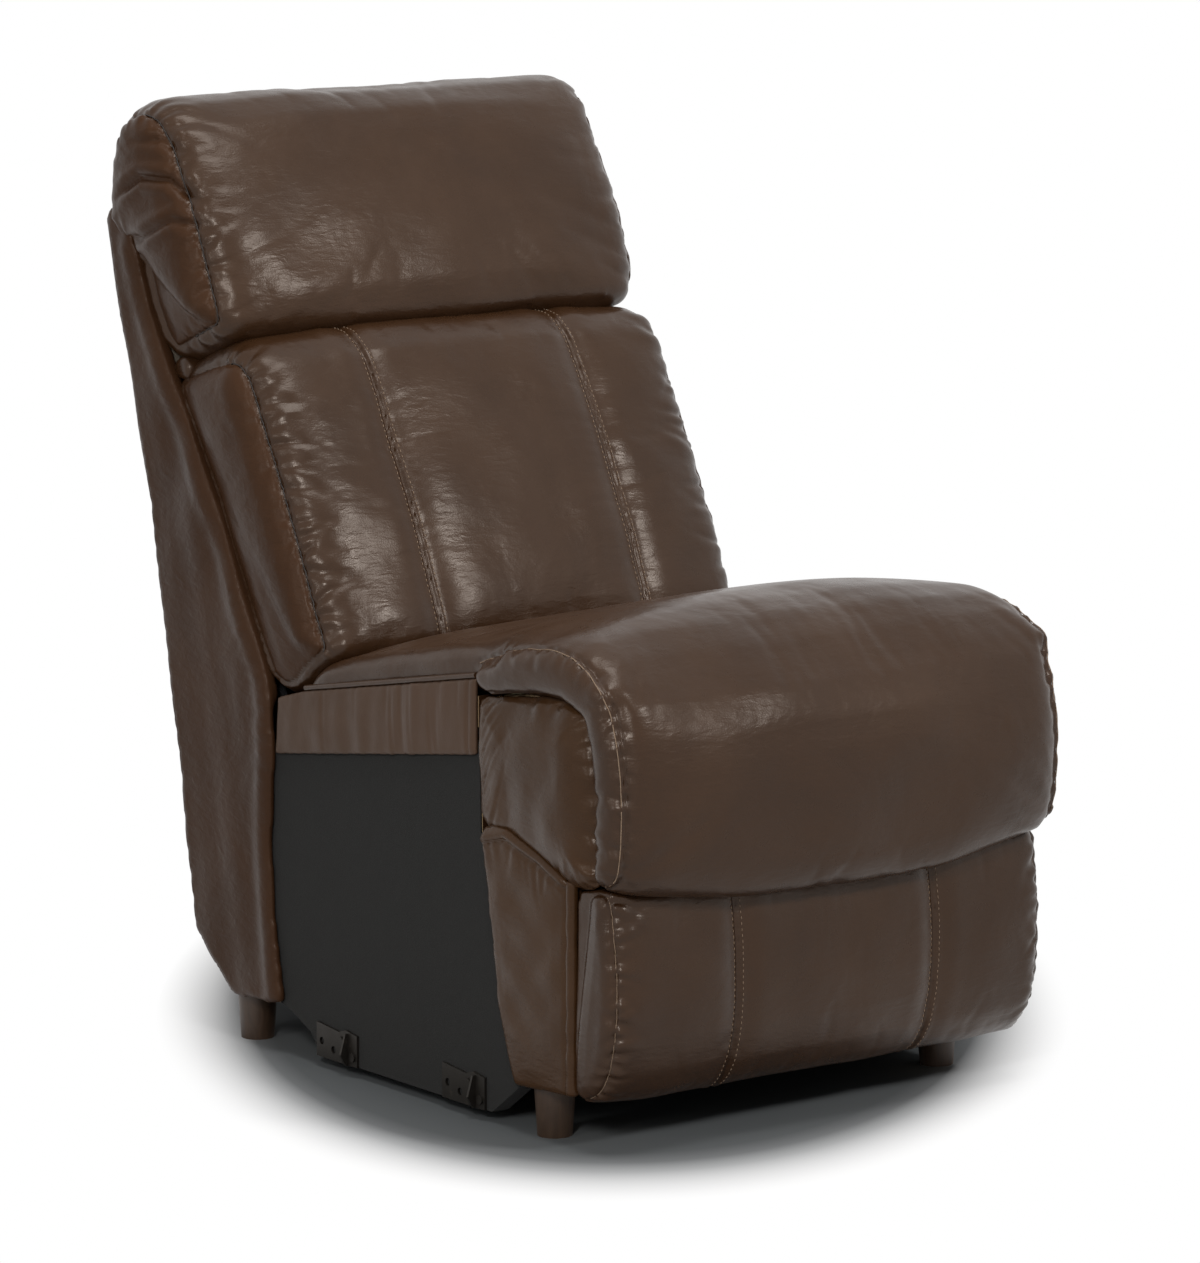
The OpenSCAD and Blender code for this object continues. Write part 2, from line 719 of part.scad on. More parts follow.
// pad of the seat: y, z, share of the swell, share of the edge rounding
seat_pad_form = [
    [0.2174 * dep, 0.3889 * tall, 0, 0.35], [0.2277 * dep, 0.3977 * tall, 0, 0.4],
    [0.2133 * dep, 0.4172 * tall, 0, 0.6], [0.1739 * dep, 0.4318 * tall, 0, 0.8],
    [0.1242 * dep, 0.4405 * tall, 0.2, 1], [0.0621 * dep, 0.4488 * tall, 0.7, 1],
    [-0.0414 * dep, 0.4581 * tall, 1, 1], [-0.1532 * dep, 0.4688 * tall, 1, 1],
    [-0.2899 * dep, 0.4810 * tall, 1, 1], [-0.4141 * dep, 0.4946 * tall, 1, 1, 0.3],
    [-0.5176 * dep, 0.5049 * tall, 1, 0.5, 0.7], [-0.6232 * dep, 0.5132 * tall, 1, 0, 1],
    [-0.7246 * dep, 0.5171 * tall, 1, 0, 1],
    [-0.7971 * dep, 0.5141 * tall, 0.8, 0, 1], [-0.8592 * dep, 0.5015 * tall, 0.4, 0, 0.7],
    [-0.9120 * dep, 0.4812 * tall, 0, 0, 0], [-0.8778 * dep, 0.4644 * tall, 0, 0, 0],
    [-0.8427 * dep, 0.4479 * tall, 0, 0, 0],
    [-0.8116 * dep, 0.4561 * tall, 0, 0, 0], [-0.7702 * dep, 0.4615 * tall, 0, 0, 0],
    [-0.6957 * dep, 0.4605 * tall, 0, 0, 0], [-0.4907 * dep, 0.4488 * tall, 0, 0.5, 0],
    [-0.3106 * dep, 0.4357 * tall, 0, 1],
    [-0.1532 * dep, 0.4235 * tall, 0, 1], [0.0000 * dep, 0.4089 * tall, 0, 1],
    [0.1242 * dep, 0.3977 * tall, 0, 0.6]
];
module seat_pad() color(leather) padded(seat_pad_form, pad_w, pad_edge_r, seat_crown, 0, ends = 1);

roll_form = [
    [-0.4431 * dep, 0.4513 * tall, 1], [-0.4431 * dep, 0.4776 * tall, 1],
    [-0.4907 * dep, 0.4864 * tall, 1], [-0.5549 * dep, 0.5015 * tall, 1],
    [-0.6232 * dep, 0.5117 * tall, 1], [-0.6957 * dep, 0.5166 * tall, 1],
    [-0.7660 * dep, 0.5161 * tall, 1], [-0.8282 * dep, 0.5093 * tall, 1],
    [-0.8737 * dep, 0.4971 * tall, 1], [-0.9120 * dep, 0.4812 * tall, 0],
    [-0.8778 * dep, 0.4644 * tall, 0], [-0.8427 * dep, 0.4479 * tall, 0],
    [-0.8199 * dep, 0.4552 * tall, 0], [-0.7826 * dep, 0.4620 * tall, 0],
    [-0.6957 * dep, 0.4649 * tall, 0],
    [-0.6004 * dep, 0.4581 * tall, 0], [-0.5052 * dep, 0.4493 * tall, 0]
];
module pad_roll(s) {
    side(s)
        side_padded(roll_form, pad_w + seat_gap, roll_w, pad_edge_r * 0.3, 1);
}
module pad_roll_left() color(leather) pad_roll(-1);
module pad_roll_right() color(leather) pad_roll(1);

bolster_form = [
    [-0.4389 * dep, 0.3314 * tall, 0.8], [-0.4379 * dep, 0.3899 * tall, 0.3],
    [-0.4410 * dep, 0.4386 * tall, 0.6], [-0.4638 * dep, 0.4440 * tall, 0.8],
    [-0.5424 * dep, 0.4498 * tall, 0.6], [-0.6211 * dep, 0.4548 * tall, 0.5],
    [-0.6957 * dep, 0.4591 * tall, 0.5],
    [-0.7702 * dep, 0.4586 * tall, 0.5], [-0.8199 * dep, 0.4488 * tall, 0.5],
    [-0.8447 * dep, 0.4250 * tall, 0.5], [-0.8613 * dep, 0.3947 * tall, 0.5],
    [-0.8737 * dep, 0.3606 * tall, 0.5], [-0.8747 * dep, 0.3021 * tall, 0.6],
    [-0.8613 * dep, 0.2885 * tall, 0.8],
    [-0.8240 * dep, 0.2822 * tall, 0.8], [-0.7723 * dep, 0.2827 * tall, 0.8],
    [-0.6667 * dep, 0.3012 * tall, 0.8], [-0.5507 * dep, 0.3177 * tall, 0.8],
    [-0.4679 * dep, 0.3187 * tall, 0.9]
];
module side_bolster(s) {
    side(s)
        side_padded(bolster_form, strip_x - leather_t, half_w + leather_t * 0.6, bolster_swell);
}
module side_bolster_left() color(leather) side_bolster(-1);
module side_bolster_right() color(leather) side_bolster(1);

// folding footrest
drop_form = [
    [-0.9151 * dep, 0.4790 * tall, 0, 0, 0], [-0.9420 * dep, 0.4620 * tall, 0.3, 0, 0.8],
    [-0.9648 * dep, 0.4288 * tall, 0.7, 0, 1], [-0.9772 * dep, 0.3947 * tall, 1, 0, 1],
    [-0.9814 * dep, 0.3606 * tall, 1, 0, 1],
    [-0.9793 * dep, 0.3265 * tall, 1, 0, 1], [-0.9731 * dep, 0.3041 * tall, 1, 0, 1],
    [-0.9627 * dep, 0.2885 * tall, 0.8, 0, 1], [-0.9441 * dep, 0.2797 * tall, 0.5, 0, 0.6],
    [-0.9130 * dep, 0.2768 * tall, 0, 0, 0], [-0.8882 * dep, 0.2807 * tall, 0, 0, 0],
    [-0.8789 * dep, 0.2973 * tall, 0, 0, 0], [-0.8789 * dep, 0.3411 * tall, 0, 0, 0],
    [-0.8768 * dep, 0.3704 * tall, 0, 0, 0], [-0.8623 * dep, 0.4142 * tall, 0, 0, 0],
    [-0.8443 * dep, 0.4459 * tall, 0, 0, 0], [-0.8799 * dep, 0.4625 * tall, 0, 0, 0]
];
module pad_drop() color(leather) padded(drop_form, pad_w, pad_edge_r, pad_crown, 0, ends = 1);

drop_roll_form = [
    [-0.9151 * dep, 0.4790 * tall, 0], [-0.9400 * dep, 0.4620 * tall, 1],
    [-0.9627 * dep, 0.4288 * tall, 1], [-0.9762 * dep, 0.3947 * tall, 1],
    [-0.9803 * dep, 0.3606 * tall, 1], [-0.9783 * dep, 0.3265 * tall, 1],
    [-0.9720 * dep, 0.3041 * tall, 1],
    [-0.9607 * dep, 0.2895 * tall, 1], [-0.9420 * dep, 0.2807 * tall, 1],
    [-0.9130 * dep, 0.2783 * tall, 0], [-0.8882 * dep, 0.2827 * tall, 0],
    [-0.8789 * dep, 0.2992 * tall, 0], [-0.8789 * dep, 0.3411 * tall, 0],
    [-0.8768 * dep, 0.3704 * tall, 0],
    [-0.8623 * dep, 0.4142 * tall, 0], [-0.8443 * dep, 0.4459 * tall, 0],
    [-0.8799 * dep, 0.4625 * tall, 0]
];
module drop_roll(s) {
    side(s)
        side_padded(drop_roll_form, pad_w + seat_gap, roll_w, pad_edge_r * 0.3, 1);
}
module drop_roll_left() color(leather) drop_roll(-1);
module drop_roll_right() color(leather) drop_roll(1);

footrest_form = [
    [-0.8923 * dep, 0.2749 * tall, 0, 0.6, 0], [-0.9089 * dep, 0.2641 * tall, 0.5, 0.8, 0],
    [-0.9193 * dep, 0.2339 * tall, 1, 1, 0], [-0.9296 * dep, 0.1949 * tall, 1, 1, 0],
    [-0.9317 * dep, 0.1559 * tall, 1, 1, 0], [-0.9234 * dep, 0.1218 * tall, 1, 1, 0],
    [-0.9048 * dep, 0.0877 * tall, 0.7, 1, 0], [-0.8778 * dep, 0.0663 * tall, 0.3, 0.9, 0],
    [-0.8509 * dep, 0.0560 * tall, 0, 0.6, 0], [-0.8219 * dep, 0.0521 * tall, 0, 0.4, 0],
    [-0.7950 * dep, 0.0556 * tall, 0, 0.2, 0], [-0.7847 * dep, 0.0643 * tall, 0, 0, 0],
    [-0.7992 * dep, 0.1267 * tall, 0, 0, 0.28], [-0.8178 * dep, 0.1998 * tall, 0, 0, 0.64],
    [-0.8364 * dep, 0.2612 * tall, 0, 0, 1], [-0.8447 * dep, 0.2710 * tall, 0, 0.1, 0.9],
    [-0.8654 * dep, 0.2758 * tall, 0, 0.4, 0.3]
];
module footrest_cushion() color(leather)
    skin([
        for (x = wrap_stations)
            let (
                r = ring(footrest_form, x, footrest_w, pad_edge_r, pad_crown / 2, footrest_seam_x, 0, 0),
                back = abs(x) > wrap_x ? wrap_back : 0
            )
                [for (i = [0:len(r) - 1]) r[i] + [0, back * footrest_form[i][4], 0]]
    ]);
footrest_w = half_w - seat_gap;
wrap_x = link_x + steel_t * 2;
wrap_back = 0.0507 * dep;
wrap_stations = let (
    plain = stations(footrest_w, pad_edge_r, footrest_seam_x),
    n = len(plain),
    edge = [for (x = plain) if (x > wrap_x + steel_t) x],
    mid = [for (x = plain) if (abs(x) < wrap_x - seat_gap) x]
) concat(
    [for (k = [len(edge) - 1:-1:0]) -edge[k]],
    [-wrap_x - seat_gap, -wrap_x],
    mid,
    [wrap_x, wrap_x + seat_gap],
    edge
);

module footrest_boards() color(wood) {
    slab(-link_x + seat_gap, link_x - seat_gap, [
        [-0.8331 * dep, 0.2612 * tall], [-0.7847 * dep, 0.0780 * tall], [-0.7598 * dep, 0.0780 * tall],
        [-0.8083 * dep, 0.2612 * tall]
    ]);
    slab(-link_x + seat_gap, link_x - seat_gap, [
        [-0.8783 * dep, 0.2924 * tall], [-0.8783 * dep, 0.3411 * tall], [-0.8760 * dep, 0.3704 * tall],
        [-0.8665 * dep, 0.3996 * tall],
        [-0.8416 * dep, 0.3996 * tall], [-0.8530 * dep, 0.3704 * tall], [-0.8534 * dep, 0.2924 * tall]
    ]);
}

module footrest_bracket(s) {
    side(s) {
        slab(link_x, link_x + steel_t, [
            [-0.7826 * dep, 0.0975 * tall], [-0.7660 * dep, 0.0975 * tall],
            [-0.7785 * dep, 0.1754 * tall], [-0.7785 * dep, 0.2222 * tall],
            [-0.8075 * dep, 0.2982 * tall], [-0.8240 * dep, 0.3216 * tall],
            [-0.8427 * dep, 0.3947 * tall], [-0.8613 * dep, 0.3977 * tall],
            [-0.8737 * dep, 0.3704 * tall], [-0.8758 * dep, 0.2924 * tall],
            [-0.8313 * dep, 0.2612 * tall], [-0.8012 * dep, 0.1462 * tall]
        ]);
        link(link_x, bracket_pivot, tie_front, link_r);
        stud_in(link_x, bracket_pivot);
        stud_in(link_x, tie_front);
    }
}
module footrest_brackets() color(steel)
    both()
        footrest_bracket(1);

module rear_link(s) {
    side(s) {
        difference() {
            link(link_x, rear_top, rear_low, link_r);
            bore(rear_top);
        }
        stud_in(link_x, rear_low);
        stud_in(link_x, tie_rear);
    }
}
module rear_links() color(steel)
    both()
        rear_link(1);

module front_link(s) {
    side(s) {
        difference() {
            link(link_x, front_top, front_low, link_r);
            bore(front_top);
        }
        stud_in(link_x, front_low);
    }
}
module front_links() color(steel)
    both()
        front_link(1);

module cross_tube() color(steel)
    difference() {
        bar(-link_x + seat_gap, link_x - seat_gap, tube_at, tube_r);
        bar(-link_x, link_x, tube_at, tube_r - tube_wall);
    }

module carrier_bar(s) {
    side(s)
        difference() {
            link(carrier_x, rear_low, bracket_pivot, link_r);
            bore(rear_low);
            bore(front_low);
            bore(bracket_pivot);
        }
}
module carrier_bars() color(steel)
    both()
        carrier_bar(1);

module tie_bar(s) {
    side(s)
        difference() {
            link(carrier_x, tie_rear, tie_front, link_r);
            bore(tie_rear);
            bore(tie_front);
        }
}
module tie_bars() color(steel)
    both()
        tie_bar(1);

// reclining back
module back_bracket(s) {
    side(s) {
        difference() {
            union() {
                plate(outer_x) {
                    strip(back_pivot, seat_pivot, link_r);
                    strip(back_pivot, [0.6004 * dep, 0.5458 * tall], boss_r);
                }
            }
            bore(back_pivot);
            bore(seat_pivot);
        }
    }
}
module back_brackets() color(steel)
    both()
        back_bracket(1);

module back_stile(s) {
    side(s)
        slab(outer_x + steel_t + seat_gap, cover_x - seat_gap, [
            [0.3851 * dep, 0.4133 * tall], [0.4472 * dep, 0.3967 * tall],
            [0.4720 * dep, 0.4113 * tall], [0.5342 * dep, 0.4688 * tall],
            [0.6522 * dep, 0.5702 * tall], [0.7909 * dep, 0.6706 * tall],
            [0.9130 * dep, 0.7632 * tall], [0.9689 * dep, 0.8333 * tall],
            [0.9110 * dep, 0.8441 * tall],
            [0.8509 * dep, 0.7797 * tall], [0.7288 * dep, 0.6871 * tall],
            [0.5901 * dep, 0.5867 * tall], [0.4720 * dep, 0.4854 * tall]
        ]);
}
module back_stile_left() color(wood) back_stile(-1);
module back_stile_right() color(wood) back_stile(1);

module back_rails() color(wood) {
    slab(-outer_x + seat_gap, outer_x - seat_gap, [
            [0.3872 * dep, 0.4133 * tall], [0.4410 * dep, 0.3986 * tall],
            [0.4824 * dep, 0.4347 * tall], [0.4286 * dep, 0.4493 * tall]
        ]);
    slab(-outer_x - steel_t, outer_x + steel_t, [
            [0.7288 * dep, 0.6871 * tall], [0.7826 * dep, 0.6725 * tall],
            [0.8240 * dep, 0.7037 * tall], [0.7702 * dep, 0.7183 * tall]
        ]);
    slab(-outer_x - steel_t, outer_x + steel_t, [
            [0.8778 * dep, 0.8080 * tall], [0.9400 * dep, 0.7943 * tall],
            [0.9669 * dep, 0.8324 * tall], [0.9110 * dep, 0.8431 * tall]
        ]);
}

front_a = [0.4720 * dep, 0.4854 * tall];
front_b = [0.5901 * dep, 0.5867 * tall];
front_c = [0.7288 * dep, 0.6871 * tall];
front_d = [0.8509 * dep, 0.7797 * tall];
front_e = [0.9110 * dep, 0.8441 * tall];
module back_strap(p, q) {
    d = q - p;
    n = [d[1], -d[0]] / norm(d);
    slab(-cover_x + seat_gap, cover_x - seat_gap, [
        p - n * seat_gap, q - n * seat_gap, q - n * (seat_gap + strap_t), p - n * (seat_gap + strap_t)
    ]);
}
function along(a, b, s) = a + (b - a) * s;
module back_straps() color(web) {
    back_strap(along(front_a, front_b, 0.1), along(front_a, front_b, 0.48));
    back_strap(along(front_a, front_b, 0.6), along(front_a, front_b, 0.98));
    back_strap(along(front_b, front_c, 0.15), along(front_b, front_c, 0.52));
    back_strap(along(front_c, front_d, 0.35), along(front_c, front_d, 0.75));
    back_strap(along(front_d, front_e, 0.1), along(front_d, front_e, 0.75));
}

module back_wing(s) {
    side(s)
        union() {
            slab(cover_x, half_w, [
                [0.3540 * dep, 0.3830 * tall], [0.3623 * dep, 0.4055 * tall],
                [0.4534 * dep, 0.4854 * tall], [0.5714 * dep, 0.5867 * tall],
                [0.7101 * dep, 0.6871 * tall], [0.8323 * dep, 0.7797 * tall],
                [0.8903 * dep, 0.8431 * tall], [0.9110 * dep, 0.8465 * tall],
                [0.9917 * dep, 0.8475 * tall], [0.9130 * dep, 0.7037 * tall],
                [0.8385 * dep, 0.5712 * tall], [0.7888 * dep, 0.4483 * tall],
                [0.7598 * dep, 0.3752 * tall], [0.4141 * dep, 0.3752 * tall]
            ]);
            bar(cover_x, half_w, back_pivot, boss_r * 2);
        }
}
module back_wing_left() color(leather) back_wing(-1);
module back_wing_right() color(leather) back_wing(1);

module outer_back() color(leather)
    slab(-cover_x + seat_gap, cover_x - seat_gap, [
        [0.7578 * dep, 0.3752 * tall], [0.7888 * dep, 0.4483 * tall], [0.8385 * dep, 0.5712 * tall],
        [0.9130 * dep, 0.7037 * tall], [0.9917 * dep, 0.8475 * tall], [0.9803 * dep, 0.8475 * tall],
        [0.9017 * dep, 0.7050 * tall], [0.8271 * dep, 0.5721 * tall], [0.7774 * dep, 0.4493 * tall],
        [0.7464 * dep, 0.3762 * tall]
    ]);

lumbar_form = [
    [0.3147 * dep, 0.3957 * tall, 0, 0.1, 0], [0.3665 * dep, 0.4055 * tall, 0, 0.1, 0],
    [0.3822 * dep, 0.4181 * tall, 0, 0, 0], [0.4650 * dep, 0.4854 * tall, 0, 0, 0],
    [0.5830 * dep, 0.5867 * tall, 0, 0, 0], [0.7143 * dep, 0.6813 * tall, 0, 0, 0],
    [0.7391 * dep, 0.7027 * tall, 0, 0.2, 0],
    [0.7122 * dep, 0.7212 * tall, 0, 0.6, 0.08], [0.6625 * dep, 0.7310 * tall, 0.1, 0.8, 0.23],
    [0.6066 * dep, 0.7398 * tall, 0.4, 1, 0.38], [0.5424 * dep, 0.7476 * tall, 0.7, 1, 0.46],
    [0.4886 * dep, 0.7456 * tall, 0.9, 1, 0.54], [0.4431 * dep, 0.7300 * tall, 1, 1, 0.54],
    [0.4037 * dep, 0.6979 * tall, 1, 1, 0.54], [0.3561 * dep, 0.6559 * tall, 1, 1, 0.54],
    [0.3064 * dep, 0.6131 * tall, 1, 1, 0.54], [0.2609 * dep, 0.5712 * tall, 1, 1, 0.54],
    [0.2215 * dep, 0.5322 * tall, 1, 1, 0.54], [0.1884 * dep, 0.4951 * tall, 1, 1, 0.46],
    [0.1594 * dep, 0.4678 * tall, 1, 1, 0.31],
    [0.1449 * dep, 0.4513 * tall, 0.8, 0.8, 0.15], [0.1532 * dep, 0.4415 * tall, 0.2, 0.5, 0],
    [0.1781 * dep, 0.4352 * tall, 0, 0.3, 0], [0.2133 * dep, 0.4230 * tall, 0, 0.2, 0],
    [0.2381 * dep, 0.4113 * tall, 0, 0.1, 0], [0.2692 * dep, 0.4016 * tall, 0, 0.1, 0]
];
module lumbar_cushion() color(leather)
    padded(lumbar_form, cover_x - seat_gap * 4, back_edge_r, back_crown, lumbar_seam_x, back_bulge);

head_form = [
    [0.7557 * dep, 0.7261 * tall, 0, 0.5, 0], [0.8023 * dep, 0.7485 * tall, 0, 0, 0],
    [0.8435 * dep, 0.7807 * tall, 0, 0, 0], [0.9039 * dep, 0.8460 * tall, 0, 0, 0],
    [0.9358 * dep, 0.8484 * tall, 0, 0.1, 0], [0.9793 * dep, 0.8494 * tall, 0, 0.3, 0.1],
    [0.9959 * dep, 0.8694 * tall, 0, 0.5, 0.8], [1.0000 * dep, 0.9133 * tall, 0, 0.7, 1],
    [0.9876 * dep, 0.9435 * tall, 0, 0.7, 1], [0.9607 * dep, 0.9727 * tall, 0, 0.7, 1],
    [0.9068 * dep, 0.9942 * tall, 0.1, 0.6, 1], [0.8406 * dep, 0.9995 * tall, 0.1, 0.5, 1],
    [0.7826 * dep, 0.9932 * tall, 0.4, 0.7, 1], [0.7308 * dep, 0.9698 * tall, 0.9, 1, 1],
    [0.6853 * dep, 0.9347 * tall, 1, 1, 1], [0.6439 * dep, 0.8996 * tall, 1, 1, 1],
    [0.6087 * dep, 0.8645 * tall, 1, 1, 1], [0.5776 * dep, 0.8285 * tall, 1, 1, 1],
    [0.5528 * dep, 0.8002 * tall, 1, 1, 0.9],
    [0.5424 * dep, 0.7788 * tall, 0.9, 0.8, 0.4], [0.5590 * dep, 0.7632 * tall, 0.5, 0.6, 0.25],
    [0.6108 * dep, 0.7524 * tall, 0.1, 0.6, 0.2], [0.6667 * dep, 0.7407 * tall, 0, 0.6, 0.1],
    [0.7143 * dep, 0.7300 * tall, 0, 0.6, 0]
];
module head_cushion() color(leather)
    padded(head_form, cover_x - seat_gap * 6, back_edge_r, back_crown, 0, back_bulge);

base_side_left();
base_side_right();
front_rail();
rear_rail();
base_corner_blocks();
side_cloth_left();
side_cloth_right();
front_post_left();
front_post_right();
post_welts();
lower_cover_left();
lower_cover_right();
rear_cover();
back_gusset();
dust_cover();
foot_front_left();
foot_front_right();
foot_rear_left();
foot_rear_right();
connectors_left();
connectors_right();
connector_screws();
base_plates();
swing_links();
seat_plates();
seat_side_rails();
seat_cross_rails();
seat_corner_blocks();
seat_springs();
seat_foam();
seat_pad();
pad_roll_left();
pad_roll_right();
side_bolster_left();
side_bolster_right();
seat_strip_left();
seat_strip_right();
seat_piping();
pad_drop();
drop_roll_left();
drop_roll_right();
footrest_cushion();
footrest_boards();
footrest_brackets();
rear_links();
front_links();
cross_tube();
carrier_bars();
tie_bars();
back_brackets();
back_stile_left();
back_stile_right();
back_rails();
back_straps();
back_wing_left();
back_wing_right();
outer_back();
lumbar_cushion();
head_cushion();
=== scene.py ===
import json
import math
import bpy
import bmesh
import numpy as np
from mathutils import Matrix, Vector
from mathutils.bvhtree import BVHTree


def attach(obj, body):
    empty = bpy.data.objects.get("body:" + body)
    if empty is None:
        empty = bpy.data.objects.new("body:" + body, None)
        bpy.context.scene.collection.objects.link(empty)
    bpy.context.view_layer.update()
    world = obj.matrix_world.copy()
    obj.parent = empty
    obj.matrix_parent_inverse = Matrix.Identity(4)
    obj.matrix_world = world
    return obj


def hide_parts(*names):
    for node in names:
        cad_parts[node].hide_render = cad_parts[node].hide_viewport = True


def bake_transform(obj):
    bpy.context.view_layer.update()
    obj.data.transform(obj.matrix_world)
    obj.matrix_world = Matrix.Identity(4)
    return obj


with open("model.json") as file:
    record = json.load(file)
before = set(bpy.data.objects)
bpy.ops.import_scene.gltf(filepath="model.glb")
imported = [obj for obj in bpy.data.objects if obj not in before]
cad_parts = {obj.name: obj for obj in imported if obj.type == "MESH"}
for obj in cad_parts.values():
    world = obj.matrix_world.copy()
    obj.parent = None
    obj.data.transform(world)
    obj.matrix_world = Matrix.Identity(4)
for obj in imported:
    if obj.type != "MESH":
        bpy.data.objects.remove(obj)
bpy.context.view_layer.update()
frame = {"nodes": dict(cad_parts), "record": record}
nodes = frame["nodes"]
scene = bpy.context.scene
scene.view_settings.view_transform = "Standard"
print("frame loaded")

# materials
def newMaterial(name):
    mat = bpy.data.materials.new(name)
    mat.use_nodes = True
    nt = mat.node_tree
    nt.nodes.clear()
    out = nt.nodes.new("ShaderNodeOutputMaterial")
    bsdf = nt.nodes.new("ShaderNodeBsdfPrincipled")
    nt.links.new(bsdf.outputs[0], out.inputs[0])
    return mat, nt, bsdf


def objectSpace(nt, stretch=(1, 1, 1)):
    coords = nt.nodes.new("ShaderNodeTexCoord")
    place = nt.nodes.new("ShaderNodeMapping")
    place.inputs["Scale"].default_value = stretch
    nt.links.new(coords.outputs["Object"], place.inputs["Vector"])
    return place.outputs["Vector"]


def noiseField(nt, vector, scale, detail=4.0, rough=0.55, warp=0.0):
    n = nt.nodes.new("ShaderNodeTexNoise")
    n.inputs["Scale"].default_value = scale
    n.inputs["Detail"].default_value = detail
    n.inputs["Roughness"].default_value = rough
    n.inputs["Distortion"].default_value = warp
    nt.links.new(vector, n.inputs["Vector"])
    return n.outputs["Fac"]


def cellField(nt, vector, scale):
    v = nt.nodes.new("ShaderNodeTexVoronoi")
    v.inputs["Scale"].default_value = scale
    nt.links.new(vector, v.inputs["Vector"])
    return v.outputs["Distance"]


def spread(nt, fac, low, high, toLow, toHigh):
    m = nt.nodes.new("ShaderNodeMapRange")
    m.inputs["From Min"].default_value = low
    m.inputs["From Max"].default_value = high
    m.inputs["To Min"].default_value = toLow
    m.inputs["To Max"].default_value = toHigh
    nt.links.new(fac, m.inputs["Value"])
    return m.outputs["Result"]


def tones(nt, fac, stops):
    r = nt.nodes.new("ShaderNodeValToRGB")
    r.color_ramp.elements[0].position = stops[0][0]
    r.color_ramp.elements[0].color = (*stops[0][1], 1)
    r.color_ramp.elements[1].position = stops[-1][0]
    r.color_ramp.elements[1].color = (*stops[-1][1], 1)
    for at, tone in stops[1:-1]:
        e = r.color_ramp.elements.new(at)
        e.color = (*tone, 1)
    nt.links.new(fac, r.inputs["Fac"])
    return r.outputs["Color"]


def addBump(nt, bsdf, fac, depth, strength=1.0, under=None):
    b = nt.nodes.new("ShaderNodeBump")
    b.inputs["Distance"].default_value = depth
    b.inputs["Strength"].default_value = strength
    nt.links.new(fac, b.inputs["Height"])
    if under is not None:
        nt.links.new(under, b.inputs["Normal"])
    nt.links.new(b.outputs["Normal"], bsdf.inputs["Normal"])
    return b.outputs["Normal"]


# camera, light, floor
view = {"azimuth": -37.181, "elevation": 9.725, "place": (-4.0193, -5.3406, 1.6086), "lens": 176.72}
lamps = {
    "keyBox": {"place": (1.35, -3.85, 3.0), "target": (0, 0, 0.6), "size": (0.5, 0.5), "power": 52,
        "tint": (1, 0.99, 0.975)},
    "leftBox": {"place": (-3.0, -2.7, 2.2), "target": (0, 0, 0.6), "size": (0.5, 0.7), "power": 56,
        "tint": (1, 0.985, 0.965)},
    "sideBox": {"place": (-3.5, -0.6, 1.3), "target": (0, 0.1, 0.55), "size": (0.4, 1.2), "power": 10,
        "tint": (1, 0.985, 0.96)},
    "topSheet": {"place": (-0.3, -0.8, 3.3), "target": (0, 0, 0.5), "size": (1.6, 1.4), "power": 42,
        "tint": (1, 0.995, 0.985)}}
# floor paper: besides the object's real shadow, its colour holds a painted shadow, dark inside an ellipse
# round the object and fading to light over the fade span; beyond the white span it is plain white
paper = {
    "lit": (0.5, 0.5, 0.5), "middle": (0.183, 0.175, 0), "radii": (0.52, 0.96, 1),
    "fade": (0.60, 1.00), "white": (0.80, 1.00),  # in shares of the radii
    "paintedShadow": [(0.0, (0.13, 0.14, 0.145)), (0.4, (0.16, 0.17, 0.175)), (0.6, (0.34, 0.35, 0.36)),
              (0.8, (0.85, 0.85, 0.86)), (1.0, (1.5, 1.5, 1.5))]}
worldLight = 0.17


def makeCamera(v):
    data = bpy.data.cameras.new("photoCamera")
    cam = bpy.data.objects.new("photoCamera", data)
    scene.collection.objects.link(cam)
    a, e = math.radians(v["azimuth"]), math.radians(v["elevation"])
    back = Vector((math.sin(a) * math.cos(e), -math.cos(a) * math.cos(e), math.sin(e)))
    cam.location = v["place"]
    cam.rotation_euler = (-back).to_track_quat("-Z", "Y").to_euler()
    data.lens = v["lens"]
    data.sensor_width = 36
    data.clip_end = 60
    scene.camera = cam


def areaLight(name, v):
    data = bpy.data.lights.new(name, "AREA")
    data.shape = "RECTANGLE"
    data.size, data.size_y = v["size"]
    data.energy = v["power"]
    data.color = v["tint"]
    lamp = bpy.data.objects.new(name, data)
    scene.collection.objects.link(lamp)
    lamp.location = v["place"]
    aim = Vector(v["target"]) - Vector(v["place"])
    lamp.rotation_euler = aim.to_track_quat("-Z", "Y").to_euler()


def backdropRays(nt):
    path = nt.nodes.new("ShaderNodeLightPath")
    first = nt.nodes.new("ShaderNodeMath")
    first.operation = "MAXIMUM"
    both = nt.nodes.new("ShaderNodeMath")
    both.operation = "MAXIMUM"
    nt.links.new(path.outputs["Is Camera Ray"], first.inputs[0])
    nt.links.new(path.outputs["Is Transmission Ray"], first.inputs[1])
    nt.links.new(path.outputs["Is Glossy Ray"], both.inputs[0])
    nt.links.new(first.outputs[0], both.inputs[1])
    return both.outputs[0]


